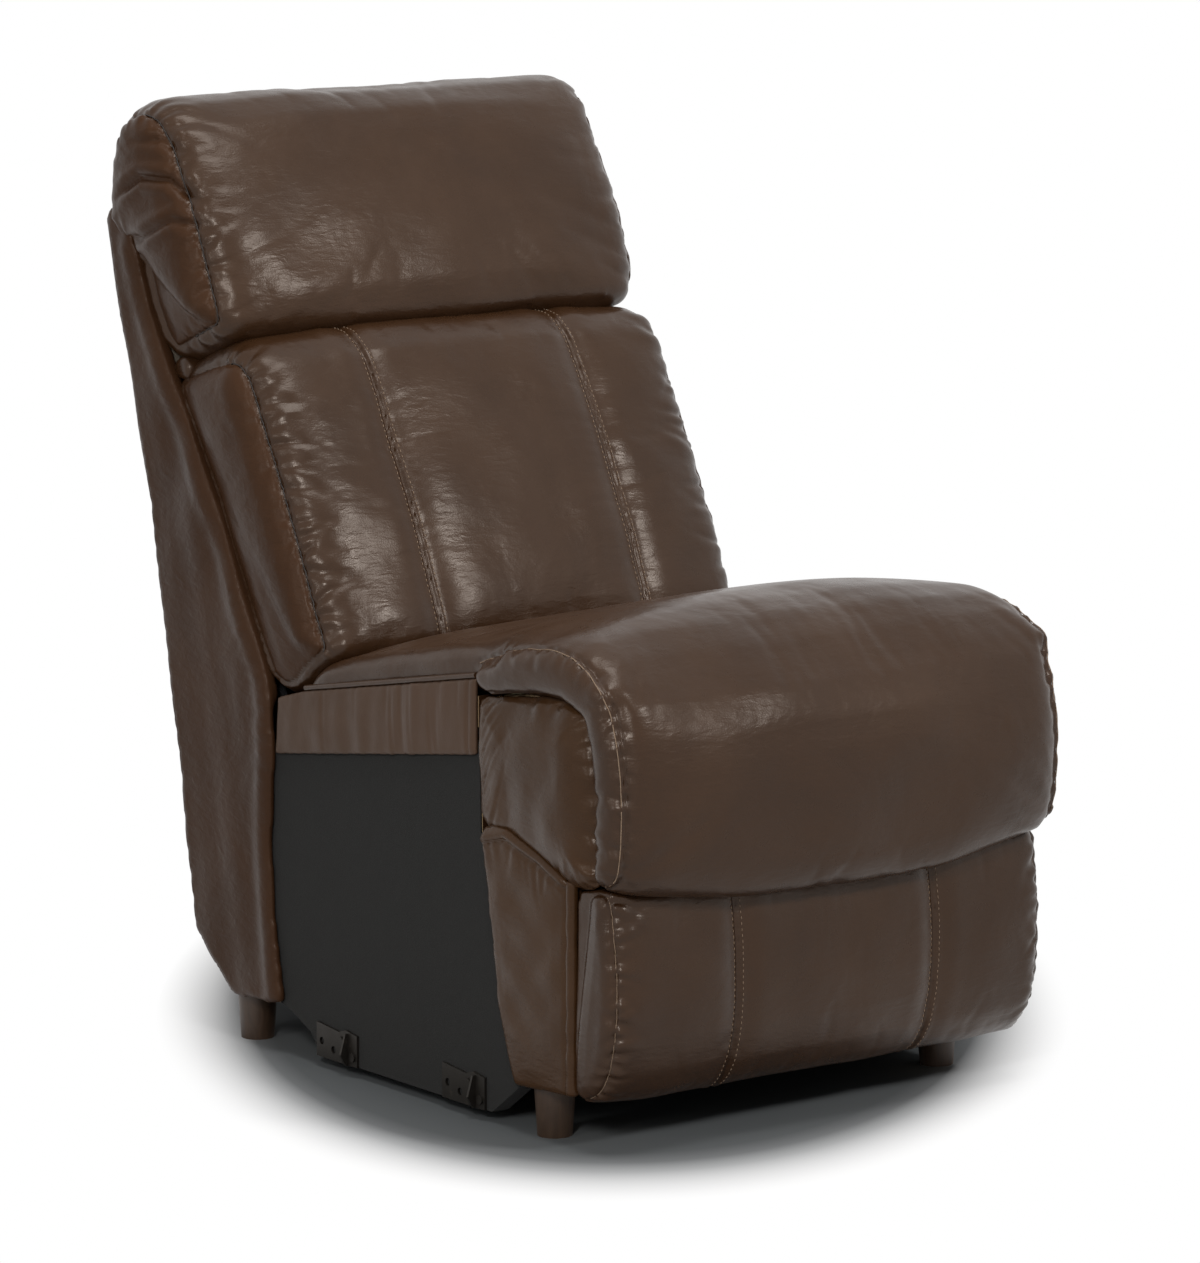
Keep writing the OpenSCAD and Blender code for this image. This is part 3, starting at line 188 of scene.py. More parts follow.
def whiteWorld(strength):
    world = bpy.data.worlds.new("studio")
    scene.world = world
    world.use_nodes = True
    nt = world.node_tree
    nt.nodes.clear()
    out = nt.nodes.new("ShaderNodeOutputWorld")
    seen = nt.nodes.new("ShaderNodeBackground")
    seen.inputs["Color"].default_value = (1, 1, 1, 1)
    seen.inputs["Strength"].default_value = 1.0
    lit = nt.nodes.new("ShaderNodeBackground")
    lit.inputs["Color"].default_value = (1, 0.99, 0.98, 1)
    lit.inputs["Strength"].default_value = strength
    mix = nt.nodes.new("ShaderNodeMixShader")
    nt.links.new(backdropRays(nt), mix.inputs[0])
    nt.links.new(lit.outputs[0], mix.inputs[1])
    nt.links.new(seen.outputs[0], mix.inputs[2])
    nt.links.new(mix.outputs[0], out.inputs[0])


def makeFloor(c):  # pale paper that keeps the object's own shadow, with a painted shadow darkening it round the object, and is white away from the object
    bm = bmesh.new()
    bmesh.ops.create_grid(bm, x_segments=2, y_segments=2, size=14)
    me = bpy.data.meshes.new("studioFloor")
    bm.to_mesh(me)
    bm.free()
    floor = bpy.data.objects.new("studioFloor", me)
    scene.collection.objects.link(floor)
    mat = bpy.data.materials.new("floorPaper")
    mat.use_nodes = True
    nt = mat.node_tree
    nt.nodes.clear()
    out = nt.nodes.new("ShaderNodeOutputMaterial")
    lit = nt.nodes.new("ShaderNodeBsdfDiffuse")
    lit.inputs["Color"].default_value = (*c["lit"], 1)
    paperWithPaintedShadow = nt.nodes.new("ShaderNodeBsdfDiffuse")
    coords = nt.nodes.new("ShaderNodeTexCoord")
    white = nt.nodes.new("ShaderNodeEmission")
    white.inputs["Strength"].default_value = 1.0
    near = nt.nodes.new("ShaderNodeMapping")
    near.vector_type = "TEXTURE"
    near.inputs["Location"].default_value = c["middle"]
    near.inputs["Rotation"].default_value = (0, 0, math.radians(view["azimuth"]))
    near.inputs["Scale"].default_value = c["radii"]
    gap = nt.nodes.new("ShaderNodeVectorMath")
    gap.operation = "LENGTH"
    nt.links.new(coords.outputs["Object"], near.inputs["Vector"])
    nt.links.new(near.outputs["Vector"], gap.inputs[0])
    # painted shadow: the paper's colour is darkest in the middle of the ellipse and lightens outwards
    paintedShadow = spread(nt, gap.outputs["Value"], *c["fade"], 0.0, 1.0)
    nt.links.new(tones(nt, paintedShadow, c["paintedShadow"]), paperWithPaintedShadow.inputs["Color"])
    outward = nt.nodes.new("ShaderNodeMixShader")
    nt.links.new(spread(nt, gap.outputs["Value"], *c["white"], 0.0, 1.0), outward.inputs[0])
    nt.links.new(paperWithPaintedShadow.outputs[0], outward.inputs[1])
    nt.links.new(white.outputs[0], outward.inputs[2])
    seen = nt.nodes.new("ShaderNodeMixShader")
    nt.links.new(backdropRays(nt), seen.inputs[0])
    nt.links.new(lit.outputs[0], seen.inputs[1])
    nt.links.new(outward.outputs[0], seen.inputs[2])
    nt.links.new(seen.outputs[0], out.inputs[0])
    me.materials.append(mat)


makeCamera(view)
whiteWorld(worldLight)
makeFloor(paper)
for name, lamp in lamps.items():
    areaLight(name, lamp)
print("camera and lights set")


def brownLeather(name, grain):
    mat, nt, bsdf = newMaterial(name)
    plain = objectSpace(nt)
    wide = objectSpace(nt, grain["creaseStretch"])
    blotch = noiseField(nt, plain, 6.0, 5.0, 0.6, 0.4)
    nt.links.new(tones(nt, blotch, grain["tones"]), bsdf.inputs["Base Color"])
    polish = noiseField(nt, plain, 26.0, 5.0, 0.65)
    nt.links.new(spread(nt, polish, 0.3, 0.7, grain["rough"][0], grain["rough"][1]), bsdf.inputs["Roughness"])
    slack = noiseField(nt, plain, 11.0, 3.0, 0.5, 0.6)
    broad = addBump(nt, bsdf, slack, grain["slackDepth"], 0.6)
    crease = noiseField(nt, wide, grain["creaseScale"], 2.5, 0.5, 0.4)
    first = addBump(nt, bsdf, spread(nt, crease, 0.40, 0.70, 0.0, 1.0), grain["creaseDepth"], 0.7, broad)
    pebble = cellField(nt, plain, grain["pebbleScale"])
    second = addBump(nt, bsdf, pebble, grain["pebbleDepth"], 0.55, first)
    fine = noiseField(nt, plain, grain["pebbleScale"] * 1.7, 3.0, 0.6)
    addBump(nt, bsdf, fine, grain["pebbleDepth"] * 0.5, 0.5, second)
    bsdf.inputs["Specular IOR Level"].default_value = grain["gloss"]
    bsdf.inputs["Specular Tint"].default_value = (1.0, 0.90, 0.82, 1)
    return mat


leatherTones = [(0.26, (0.031, 0.013, 0.005)), (0.5, (0.040, 0.0176, 0.0072)), (0.76, (0.049, 0.023, 0.0105))]
sideTones = [(0.26, (0.040, 0.017, 0.007)), (0.5, (0.050, 0.0222, 0.0102)), (0.76, (0.060, 0.0285, 0.014))]
trimTones = [(0.26, (0.043, 0.019, 0.0068)), (0.5, (0.055, 0.025, 0.0095)), (0.76, (0.066, 0.0315, 0.013))]
stripTones = [(0.26, (0.052, 0.027, 0.015)), (0.5, (0.066, 0.036, 0.021)), (0.76, (0.080, 0.045, 0.028))]
smoothGrain = {
    "tones": leatherTones, "rough": (0.25, 0.35), "creaseStretch": (0.6, 0.6, 1.9), "creaseScale": 90.0,
    "creaseDepth": 0.00022, "slackDepth": 0.0035, "pebbleScale": 520.0, "pebbleDepth": 0.00010, "gloss": 0.33}
hide = brownLeather("brownHide", smoothGrain)
sideHide = brownLeather("sideHide", {
    **smoothGrain, "tones": sideTones, "rough": (0.30, 0.42), "creaseStretch": (0.8, 0.8, 1.6),
    "creaseScale": 80.0, "creaseDepth": 0.0004, "slackDepth": 0.005, "pebbleDepth": 0.00012, "gloss": 0.13})
trimHide = brownLeather("trimHide", {**smoothGrain, "tones": trimTones, "rough": (0.24, 0.34), "gloss": 0.20})
stripHide = brownLeather("stripHide", {
    **smoothGrain, "tones": stripTones, "rough": (0.42, 0.54), "creaseStretch": (1.0, 1.0, 0.9),
    "creaseScale": 70.0, "creaseDepth": 0.00012, "slackDepth": 0.003, "pebbleDepth": 0.00014, "gloss": 0.26})


def feltCloth(name, dark, light, scale):
    mat, nt, bsdf = newMaterial(name)
    at = objectSpace(nt)
    fuzz = noiseField(nt, at, scale, 5.0, 0.7)
    nt.links.new(tones(nt, fuzz, [(0.3, dark), (0.7, light)]), bsdf.inputs["Base Color"])
    bsdf.inputs["Roughness"].default_value = 0.93
    bsdf.inputs["Specular IOR Level"].default_value = 0.2
    bsdf.inputs["Sheen Weight"].default_value = 0.08
    bsdf.inputs["Sheen Roughness"].default_value = 0.5
    first = addBump(nt, bsdf, fuzz, 0.0006, 0.6)
    sag = noiseField(nt, at, 9.0, 3.0, 0.5)
    addBump(nt, bsdf, sag, 0.004, 0.35, first)
    return mat


blackCloth = feltCloth("blackCambric", (0.013, 0.013, 0.0122), (0.025, 0.0243, 0.0235), 900.0)
foamSkin = feltCloth("paleFoam", (0.58, 0.50, 0.33), (0.72, 0.64, 0.44), 500.0)


def wovenBand(name, dark, light):
    mat, nt, bsdf = newMaterial(name)
    at = objectSpace(nt, (1.0, 0.45, 0.45))
    w = nt.nodes.new("ShaderNodeTexWave")
    w.inputs["Scale"].default_value = 260.0
    w.inputs["Distortion"].default_value = 1.0
    nt.links.new(at, w.inputs["Vector"])
    nt.links.new(tones(nt, w.outputs["Fac"], [(0.2, dark), (0.8, light)]), bsdf.inputs["Base Color"])
    bsdf.inputs["Roughness"].default_value = 0.85
    addBump(nt, bsdf, w.outputs["Fac"], 0.0005, 0.6)
    return mat


webbing = wovenBand("elasticWebbing", (0.10, 0.08, 0.06), (0.20, 0.17, 0.13))


def grainWood(name, stops, rough, stretch, scale):
    mat, nt, bsdf = newMaterial(name)
    at = objectSpace(nt, stretch)
    rings = noiseField(nt, at, scale, 6.0, 0.6, 1.4)
    nt.links.new(tones(nt, rings, stops), bsdf.inputs["Base Color"])
    nt.links.new(spread(nt, rings, 0.2, 0.8, rough[0], rough[1]), bsdf.inputs["Roughness"])
    addBump(nt, bsdf, rings, 0.0006, 0.35)
    return mat


plywoodTones = [(0.25, (0.42, 0.28, 0.15)), (0.5, (0.55, 0.39, 0.22)), (0.75, (0.64, 0.48, 0.30))]
footTones = [(0.25, (0.026, 0.013, 0.006)), (0.55, (0.046, 0.024, 0.012)), (0.8, (0.066, 0.036, 0.019))]
plywood = grainWood("palePlywood", plywoodTones, (0.55, 0.75), (1, 0.18, 1), 60.0)
stainedWood = grainWood("stainedFootWood", footTones, (0.38, 0.52), (1, 1, 0.2), 90.0)


def blackSteel(name, tone, wear):
    mat, nt, bsdf = newMaterial(name)
    at = objectSpace(nt)
    worn = noiseField(nt, at, 70.0, 6.0, 0.65)
    nt.links.new(tones(nt, worn, [(0.35, tone), (0.62, tone), (0.8, wear)]), bsdf.inputs["Base Color"])
    nt.links.new(spread(nt, worn, 0.2, 0.8, 0.38, 0.58), bsdf.inputs["Roughness"])
    bsdf.inputs["Metallic"].default_value = 0.75
    addBump(nt, bsdf, worn, 0.0002, 0.5)
    return mat


bracketSteel = blackSteel("blackenedSteel", (0.028, 0.024, 0.020), (0.075, 0.06, 0.045))
linkSteel = blackSteel("linkSteel", (0.07, 0.07, 0.075), (0.16, 0.16, 0.16))
springSteel = blackSteel("springSteel", (0.12, 0.12, 0.125), (0.25, 0.24, 0.23))


def threadFinish(name, dark, light):
    mat, nt, bsdf = newMaterial(name)
    at = objectSpace(nt)
    twist = noiseField(nt, at, 1400.0, 2.0, 0.5)
    nt.links.new(tones(nt, twist, [(0.3, dark), (0.7, light)]), bsdf.inputs["Base Color"])
    bsdf.inputs["Roughness"].default_value = 0.6
    addBump(nt, bsdf, twist, 0.0003, 0.6)
    return mat


thread = threadFinish("tanThread", (0.17, 0.11, 0.07), (0.30, 0.21, 0.14))
darkThread = threadFinish("darkThread", (0.010, 0.006, 0.004), (0.022, 0.013, 0.009))
nodeFinish = {
    "frame_wood": plywood, "foot_wood": stainedWood, "black_cloth": blackCloth,
    "bracket_steel": bracketSteel, "link_steel": linkSteel, "spring_steel": springSteel,
    "foam": foamSkin, "webbing": webbing, "leather": hide}
for part in frame["record"]["subparts"]:
    node = nodes[part["node"]]
    node.data.materials.clear()
    node.data.materials.append(nodeFinish[part["material_slot"]])


def wrapEdges(names, way, finish):  # cover turned in over the board edges that face this way
    for name in names:
        me = nodes[name].data
        me.materials.append(finish)
        for face in me.polygons:
            if face.normal.dot(Vector(way)) > 0.45:
                face.material_index = len(me.materials) - 1


wrapEdges(["back_stile_left", "back_stile_right"], (0, -0.82, 0.57), hide)
wrapEdges(["base_side_left", "base_side_right", "seat_side_rails", "front_rail"], (0, 0, 1), hide)
wrapEdges(["base_side_left", "base_side_right", "seat_side_rails", "front_rail"], (0, -1, 0), hide)
wrapEdges(["seat_side_rails"], (0, 1, 0), hide)
print("finishes made")


# soft forms
def addObject(name, bm, finish):
    me = bpy.data.meshes.new(name)
    bm.to_mesh(me)
    bm.free()
    me.materials.append(finish)
    me.polygons.foreach_set("use_smooth", [True] * len(me.polygons))
    obj = bpy.data.objects.new(name, me)
    scene.collection.objects.link(obj)
    return obj


def points(obj):
    co = np.empty(len(obj.data.vertices) * 3)
    obj.data.vertices.foreach_get("co", co)
    return co.reshape(-1, 3)


def normals(obj):
    no = np.empty(len(obj.data.vertices) * 3)
    obj.data.vertices.foreach_get("normal", no)
    return no.reshape(-1, 3)


def place(obj, co):
    obj.data.vertices.foreach_set("co", co.ravel())
    obj.data.update()


def applied(obj):  # the object's mesh becomes what its modifiers make of it
    bpy.context.view_layer.update()
    seen = obj.evaluated_get(bpy.context.evaluated_depsgraph_get())
    me = bpy.data.meshes.new_from_object(seen)
    old = obj.data
    obj.modifiers.clear()
    obj.data = me
    me.name = old.name
    bpy.data.meshes.remove(old)
    me.polygons.foreach_set("use_smooth", [True] * len(me.polygons))
    return obj


def edgeEnds(obj):
    ends = np.empty(len(obj.data.edges) * 2, dtype=np.int64)
    obj.data.edges.foreach_get("vertices", ends)
    return ends.reshape(-1, 2).T


def relaxed(obj, rounds, regrow=1.04, share=0.5):  # even smoothing that keeps the volume
    a, b = edgeEnds(obj)
    co = points(obj)
    count = np.bincount(a, minlength=len(co)) + np.bincount(b, minlength=len(co))
    for turn in range(rounds * 2):
        total = np.zeros_like(co)
        for k in range(3):
            total[:, k] = np.bincount(a, co[b, k], len(co)) + np.bincount(b, co[a, k], len(co))
        co = co + (total / count[:, None] - co) * (share if turn % 2 == 0 else -share * regrow)
    place(obj, co)


def evened(obj, voxel, rounds, regrow=1.04):  # one closed mesh of even faces with its edges rounded
    mod = obj.modifiers.new("even", "REMESH")
    mod.mode = "VOXEL"
    mod.voxel_size = voxel
    applied(obj)
    relaxed(obj, rounds, regrow)


def plate(bm, low, high, outline):  # flat solid between two x, from a (y, z) outline
    face = bm.faces.new([bm.verts.new((low, y, z)) for y, z in outline])
    made = bmesh.ops.extrude_face_region(bm, geom=[face])["geom"]
    moved = [g for g in made if isinstance(g, bmesh.types.BMVert)]
    bmesh.ops.translate(bm, verts=moved, vec=(high - low, 0, 0))
    bmesh.ops.recalc_face_normals(bm, faces=list({f for v in moved for f in v.link_faces} | {face}))


def nearLine(co, line):  # distance from an open (y, z) line, and the way along it
    p = co[:, 1:3]
    best = np.full(len(p), 9.0)
    way = np.zeros(len(p))
    run = 0.0
    for s, e in zip(np.array(line[:-1]), np.array(line[1:])):
        d = e - s
        length = float(np.hypot(*d))
        t = np.clip(((p - s) @ d) / length ** 2, 0, 1)
        far = np.linalg.norm(p - (s + t[:, None] * d), axis=1)
        way = np.where(far < best, run + t * length, way)
        best = np.minimum(best, far)
        run += length
    return best, way


def ontoLine(co, line, reach):  # points near a (y, z) line set on it, which takes out the steps of a remesh
    gap, _ = nearLine(co, line)
    slope = np.zeros_like(co)
    for k in (1, 2):
        nudge = np.zeros(3)
        nudge[k] = 0.0002
        slope[:, k] = (nearLine(co + nudge, line)[0] - nearLine(co - nudge, line)[0]) / 0.0004
    share = np.clip((reach - gap) / (0.4 * reach), 0, 1)
    return co - slope * (gap * share)[:, None]


def softCopy(name, sources, voxel, grow=0.0, rounds=4):  # one closed soft mesh from copies of CAD solids
    bm = bmesh.new()
    for source in sources:
        part = bmesh.new()
        part.from_mesh(nodes[source].data)
        bmesh.ops.remove_doubles(part, verts=part.verts, dist=0.00002)
        part.normal_update()
        moved = [(v, v.co + v.normal * grow) for v in part.verts]
        for v, co in moved:
            v.co = co
        me = bpy.data.meshes.new("copy")
        part.to_mesh(me)
        part.free()
        bm.from_mesh(me)
        bpy.data.meshes.remove(me)
    obj = addObject(name, bm, hide)
    evened(obj, voxel, rounds)
    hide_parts(*sources)
    return obj


def spreadOut(obj, field, rounds):  # a vector field evened out over the mesh
    a, b = edgeEnds(obj)
    n = len(field)
    count = (np.bincount(a, minlength=n) + np.bincount(b, minlength=n))[:, None]
    for _ in range(rounds):
        total = np.stack([np.bincount(a, field[b, k], n) + np.bincount(b, field[a, k], n)
                          for k in range(3)], axis=1)
        field = 0.4 * field + 0.6 * total / count
    return field


clothRun = {"frames": 20, "quality": 5, "mass": 0.35, "tension": 8, "shear": 4, "bending": 0.8,
            "farthest": 0.026, "evening": 90, "swell": (-0.008, 0.012)}


def puffed(obj, held, s):  # cloth under pressure, of which a share of the swell and the wrinkles is kept
    start = points(obj)
    no = normals(obj)
    loose = start - no * s["smaller"] * (1 - held)[:, None]
    place(obj, loose)
    group = obj.vertex_groups.new(name="held")
    for i in np.nonzero(held > 0.02)[0]:
        group.add([int(i)], float(held[i]), "REPLACE")
    mod = obj.modifiers.new("cloth", "CLOTH")
    c = mod.settings
    c.quality = clothRun["quality"]
    c.mass = clothRun["mass"]
    c.tension_stiffness = c.compression_stiffness = clothRun["tension"]
    c.shear_stiffness = clothRun["shear"]
    c.bending_stiffness = clothRun["bending"]
    c.vertex_group_mass = "held"
    c.shrink_min = c.shrink_max = -s["growth"]
    c.use_pressure = True
    c.uniform_pressure_force = s["pressure"]
    c.effector_weights.gravity = 0
    mod.point_cache.frame_start = 1
    mod.point_cache.frame_end = clothRun["frames"]
    for at in range(1, clothRun["frames"] + 1):
        scene.frame_set(at)
    applied(obj)
    move = points(obj) - loose
    length = np.linalg.norm(move, axis=1, keepdims=True)
    move *= np.minimum(1, clothRun["farthest"] / np.maximum(length, 1e-9))
    broad = spreadOut(obj, move, clothRun["evening"])
    fine = move - broad
    size = np.linalg.norm(fine, axis=1, keepdims=True)
    fine *= s["wrinkle"] * np.minimum(1, s["cap"] / np.maximum(size, 1e-9))
    outward = (broad * no).sum(axis=1, keepdims=True) * no
    place(obj, start + s["keep"] * np.clip(outward, *clothRun["swell"]) + fine * (1 - held)[:, None])
    obj.vertex_groups.clear()
    scene.frame_set(1)
    print("cloth on", obj.name)


def finer(obj):
    mod = obj.modifiers.new("finer", "SUBSURF")
    mod.levels = mod.render_levels = 1
    applied(obj)


def alongOutline(co, outline):  # depth inside a closed (y, z) outline and the way along it
    p = co[:, 1:3]
    a = np.array(outline)
    b = np.roll(a, -1, axis=0)
    best = np.full(len(p), 9.0)
    way = np.zeros(len(p))
    inside = np.zeros(len(p), dtype=bool)
    run = 0.0
    for s, e in zip(a, b):
        d = e - s
        length = float(np.hypot(*d))
        t = np.clip(((p - s) @ d) / length ** 2, 0, 1)
        far = np.linalg.norm(p - (s + t[:, None] * d), axis=1)
        hit = far < best
        best = np.where(hit, far, best)
        way = np.where(hit, run + t * length, way)
        cross = (s[1] > p[:, 1]) != (e[1] > p[:, 1])
        if abs(d[1]) > 1e-9:
            inside ^= cross & (p[:, 0] < s[0] + (p[:, 1] - s[1]) / d[1] * d[0])
        run += length
    return np.where(inside, best, -best), way, run


def ripple(co, length, seed, count=20):  # smooth irregular waves of about this length, between -1 and 1 or so
    rng = np.random.default_rng(seed)
    k = rng.normal(size=(count, 3))
    k *= (2 * math.pi / length * rng.uniform(0.55, 1.4, count) / np.linalg.norm(k, axis=1))[:, None]
    return np.sin(co @ k.T + rng.uniform(0, 6.28, count)).sum(axis=1) / math.sqrt(count)


def gatherField(way, off, spec, seed):  # folds that start at a seam, at off 0, and run out over the panel
    rng = np.random.default_rng(seed)
    total = np.zeros_like(off)
    at = spec["from"]
    while at < spec["to"]:
        at += spec["pitch"] * rng.uniform(0.45, 1.55)
        reach = spec["reach"] * rng.uniform(0.3, 1.0)
        width = spec["width"] * rng.uniform(0.7, 1.4)
        depth = spec["depth"] * rng.uniform(0.45, 1.0)
        lean = rng.normal() * 0.16 + spec.get("lean", 0.0)
        bend = rng.normal() * 0.25
        out = np.clip(off / reach, 0, None)
        side = way - at - lean * off - bend * off * out
        fade = np.clip(1 - out, 0, 1) ** 1.3 * np.clip(0.4 + off / 0.012, 0, 1)
        wide = width * (1 + 0.8 * out)
        total -= depth * fade * np.exp(-(side / wide) ** 2)
        total += 0.45 * depth * fade * np.exp(-((side - 2.0 * wide) / (1.3 * wide)) ** 2)
    return total


def groove(off, depth, width):
    return -depth * np.exp(-(off / width) ** 2)


def alongWay(at, t, across, sizes=(1, 1, 1)):  # a frame at a point, its x along t
    side = t.cross(across).normalized()
    turn = Matrix((t, side, t.cross(side))).transposed().to_4x4()
    return Matrix.Translation(at) @ turn @ Matrix.Diagonal((*sizes, 1))


def tubeAlong(bm, path, radius):  # round thread through (point, normal) rows
    frames = []
    for i, (p, n) in enumerate(path):
        t = (path[min(i + 1, len(path) - 1)][0] - path[max(i - 1, 0)][0]).normalized()
        frames.append(alongWay(p, t, n))
    start = frames[0] @ Matrix.Rotation(math.pi / 2, 4, "Y")
    ring = bmesh.ops.create_circle(bm, segments=6, radius=radius, matrix=start)["verts"]
    edges = list({e for v in ring for e in v.link_edges})
    bmesh.ops.edgeloop_fill(bm, edges=edges)
    for was, now in zip(frames[:-1], frames[1:]):
        made = bmesh.ops.extrude_edge_only(bm, edges=edges)["geom"]
        ring = {g for g in made if isinstance(g, bmesh.types.BMVert)}
        bmesh.ops.transform(bm, matrix=now @ was.inverted(), verts=list(ring))
        edges = [g for g in made
                 if isinstance(g, bmesh.types.BMEdge) and g.verts[0] in ring and g.verts[1] in ring]
    bmesh.ops.edgeloop_fill(bm, edges=edges)


def stitchRow(bm, path, step, length, radius):  # short raised threads along (point, normal) rows
    run = 0.0
    due = step / 2
    for (p, n), (q, m) in zip(path[:-1], path[1:]):
        gap = (q - p).length
        if gap < 1e-6:
            continue
        t = (q - p) / gap
        while due <= run + gap:
            spot = alongWay(p + t * (due - run) + n * radius * 0.4, t, n, (length / 2, radius, radius))
            bmesh.ops.create_icosphere(bm, subdivisions=1, radius=1, matrix=spot)
            due += step
        run += gap


def surfacePath(tree, places, outward):  # places sent down on the surface, with its normals
    found = []
    for p, o in zip(places, outward):
        hit, n, _, _ = tree.ray_cast(Vector(p) + Vector(o) * 0.08, -Vector(o), 0.2)
        if hit is not None:
            found.append((hit, n))
    return found


def treeOf(obj):
    me = obj.data
    return BVHTree.FromPolygons([tuple(v.co) for v in me.vertices], [tuple(p.vertices) for p in me.polygons])


def outlineWalk(outline, first, last, step):  # (place, outward) rows along part of an anticlockwise outline
    rows = []
    corners = [np.array(p) for p in outline]
    n = len(corners)
    order = [i % n for i in range(first, (last if last > first else last + n) + 1)]
    for i, j in zip(order[:-1], order[1:]):
        d = corners[j] - corners[i]
        length = float(np.hypot(*d))
        t = d / length
        count = max(1, int(length / step))
        for k in range(count):
            rows.append((corners[i] + d * (k / count), np.array((t[1], -t[0]))))
    rows.append((corners[order[-1]], rows[-1][1]))
    outward = [sum((row[1] for row in rows[max(0, i - 4):i + 5]), np.zeros(2)) for i in range(len(rows))]
    return [(row[0], o / np.hypot(*o)) for row, o in zip(rows, outward)]


def mm(*rows):
    return [(y / 1000, z / 1000) for y, z in rows]


# lumbar cushion
lumbar = {
    "outline": mm((152, 406), (177, 415), (184.6, 429), (224.6, 498), (281.6, 602), (345, 699),
                  (357, 721), (344, 740), (320, 750), (293, 759), (262, 767), (236, 765), (214, 749),
                  (195, 716), (172, 673), (148, 629), (126, 586), (107, 546), (91, 508), (77, 480),
                  (70, 463), (74, 453), (103, 434), (130, 412)),
    "half": 0.2905, "seamX": 0.140, "voxel": 0.006,
    "gathers": {"from": 0.46, "pitch": 0.015, "reach": 0.085, "width": 0.0042, "depth": 0.0042},
    "sideGathers": {"reach": 0.035, "depth": 0.003},
    "stitched": {"depth": 0.0034, "width": 0.0032, "aside": 0.0075, "rise": 0.0011},
    "puckers": {"from": 0.3, "pitch": 0.012, "reach": 0.022, "width": 0.0035, "depth": 0.0011},
    "cloth": {"smaller": 0.003, "growth": 0.014, "pressure": 8.0, "keep": 0.35, "wrinkle": 0.4, "cap": 0.004}}
head = {
    "outline": mm((365, 745), (387.5, 768), (407.4, 801), (436.6, 868), (452, 870.5), (473, 871.5),
                  (481, 892), (483, 937), (477, 968), (464, 998), (438, 1020), (406, 1025.5),
                  (378, 1019), (353, 995), (331, 959), (311, 923), (294, 887), (279, 850), (267, 821),
                  (262, 799), (270, 783), (295, 772), (322, 760), (345, 749)),
    "half": 0.2965, "voxel": 0.006,
    "gathers": {"from": 0.10, "pitch": 0.015, "reach": 0.06, "width": 0.0042, "depth": 0.0038},
    "sideGathers": {"reach": 0.055, "depth": 0.004},
    "tucks": [(mm((318, 926), (352, 948), (398, 948), (452, 920)), 0.0060),
              (mm((302, 900), (340, 905), (400, 880), (446, 876)), 0.0048),
              (mm((345, 975), (372, 990), (420, 985)), 0.0035)],
    "cloth": {"smaller": 0.003, "growth": 0.014, "pressure": 8.0, "keep": 0.35, "wrinkle": 0.4, "cap": 0.004}}


def cushionSeams(obj, c):  # points, way along the outline, way over the side seam, depth, outline's length
    co = points(obj)
    depth, way, total = alongOutline(co, c["outline"])
    off = (c["half"] - np.abs(co[:, 0])) - np.clip(depth, 0, None)
    return co, way, off, depth, total


def crowned(co, off, reach):  # rises from a side seam towards the middle
    return 1 - np.clip(1 - np.clip(off, 0, None) / reach, 0, 1) ** 2


def sideSeam(name, obj, c, first, last, finish, radius):  # thread lines where a front meets its side panels
    bm = bmesh.new()
    tree = treeOf(obj)
    rows = outlineWalk(c["outline"], first, last, 0.003)
    for s in (-1, 1):
        path = surfacePath(tree, [(s * c["half"], p[0], p[1]) for p, _ in rows],
                           [Vector((s * 0.72, o[0] * 0.69, o[1] * 0.69)) for _, o in rows])
        level = []
        for i, (_, n) in enumerate(path):
            near = path[max(0, i - 2):i + 3]
            level.append((sum((p for p, _ in near), Vector()) / len(near) + n * radius * 0.6, n))
        tubeAlong(bm, level, radius)
    bmesh.ops.recalc_face_normals(bm, faces=bm.faces)
    return addObject(name, bm, finish)


def sidePanels(obj, off):  # the duller leather of the side panels
    obj.data.materials.append(sideHide)
    for face in obj.data.polygons:
        if max(off[v] for v in face.vertices) < -0.001:
            face.material_index = 1


def heldAt(off, width):
    return np.exp(-(off / width) ** 2)


def stitchedSeam(co, way, s, c, near, to, seed):  # its groove, the raised edges and the puckers beside them
    run = co[:, 0] - s * c["seamX"]
    form = c["stitched"]
    move = (groove(np.abs(run), form["depth"], form["width"])
            - groove(np.abs(run) - form["aside"], form["rise"], 0.0035))
    for side in (-1, 1):
        move += np.where(side * run > 0,
                         gatherField(way, side * run, {**c["puckers"], "to": to}, seed + side), 0)
    return np.where(near, move, 0)


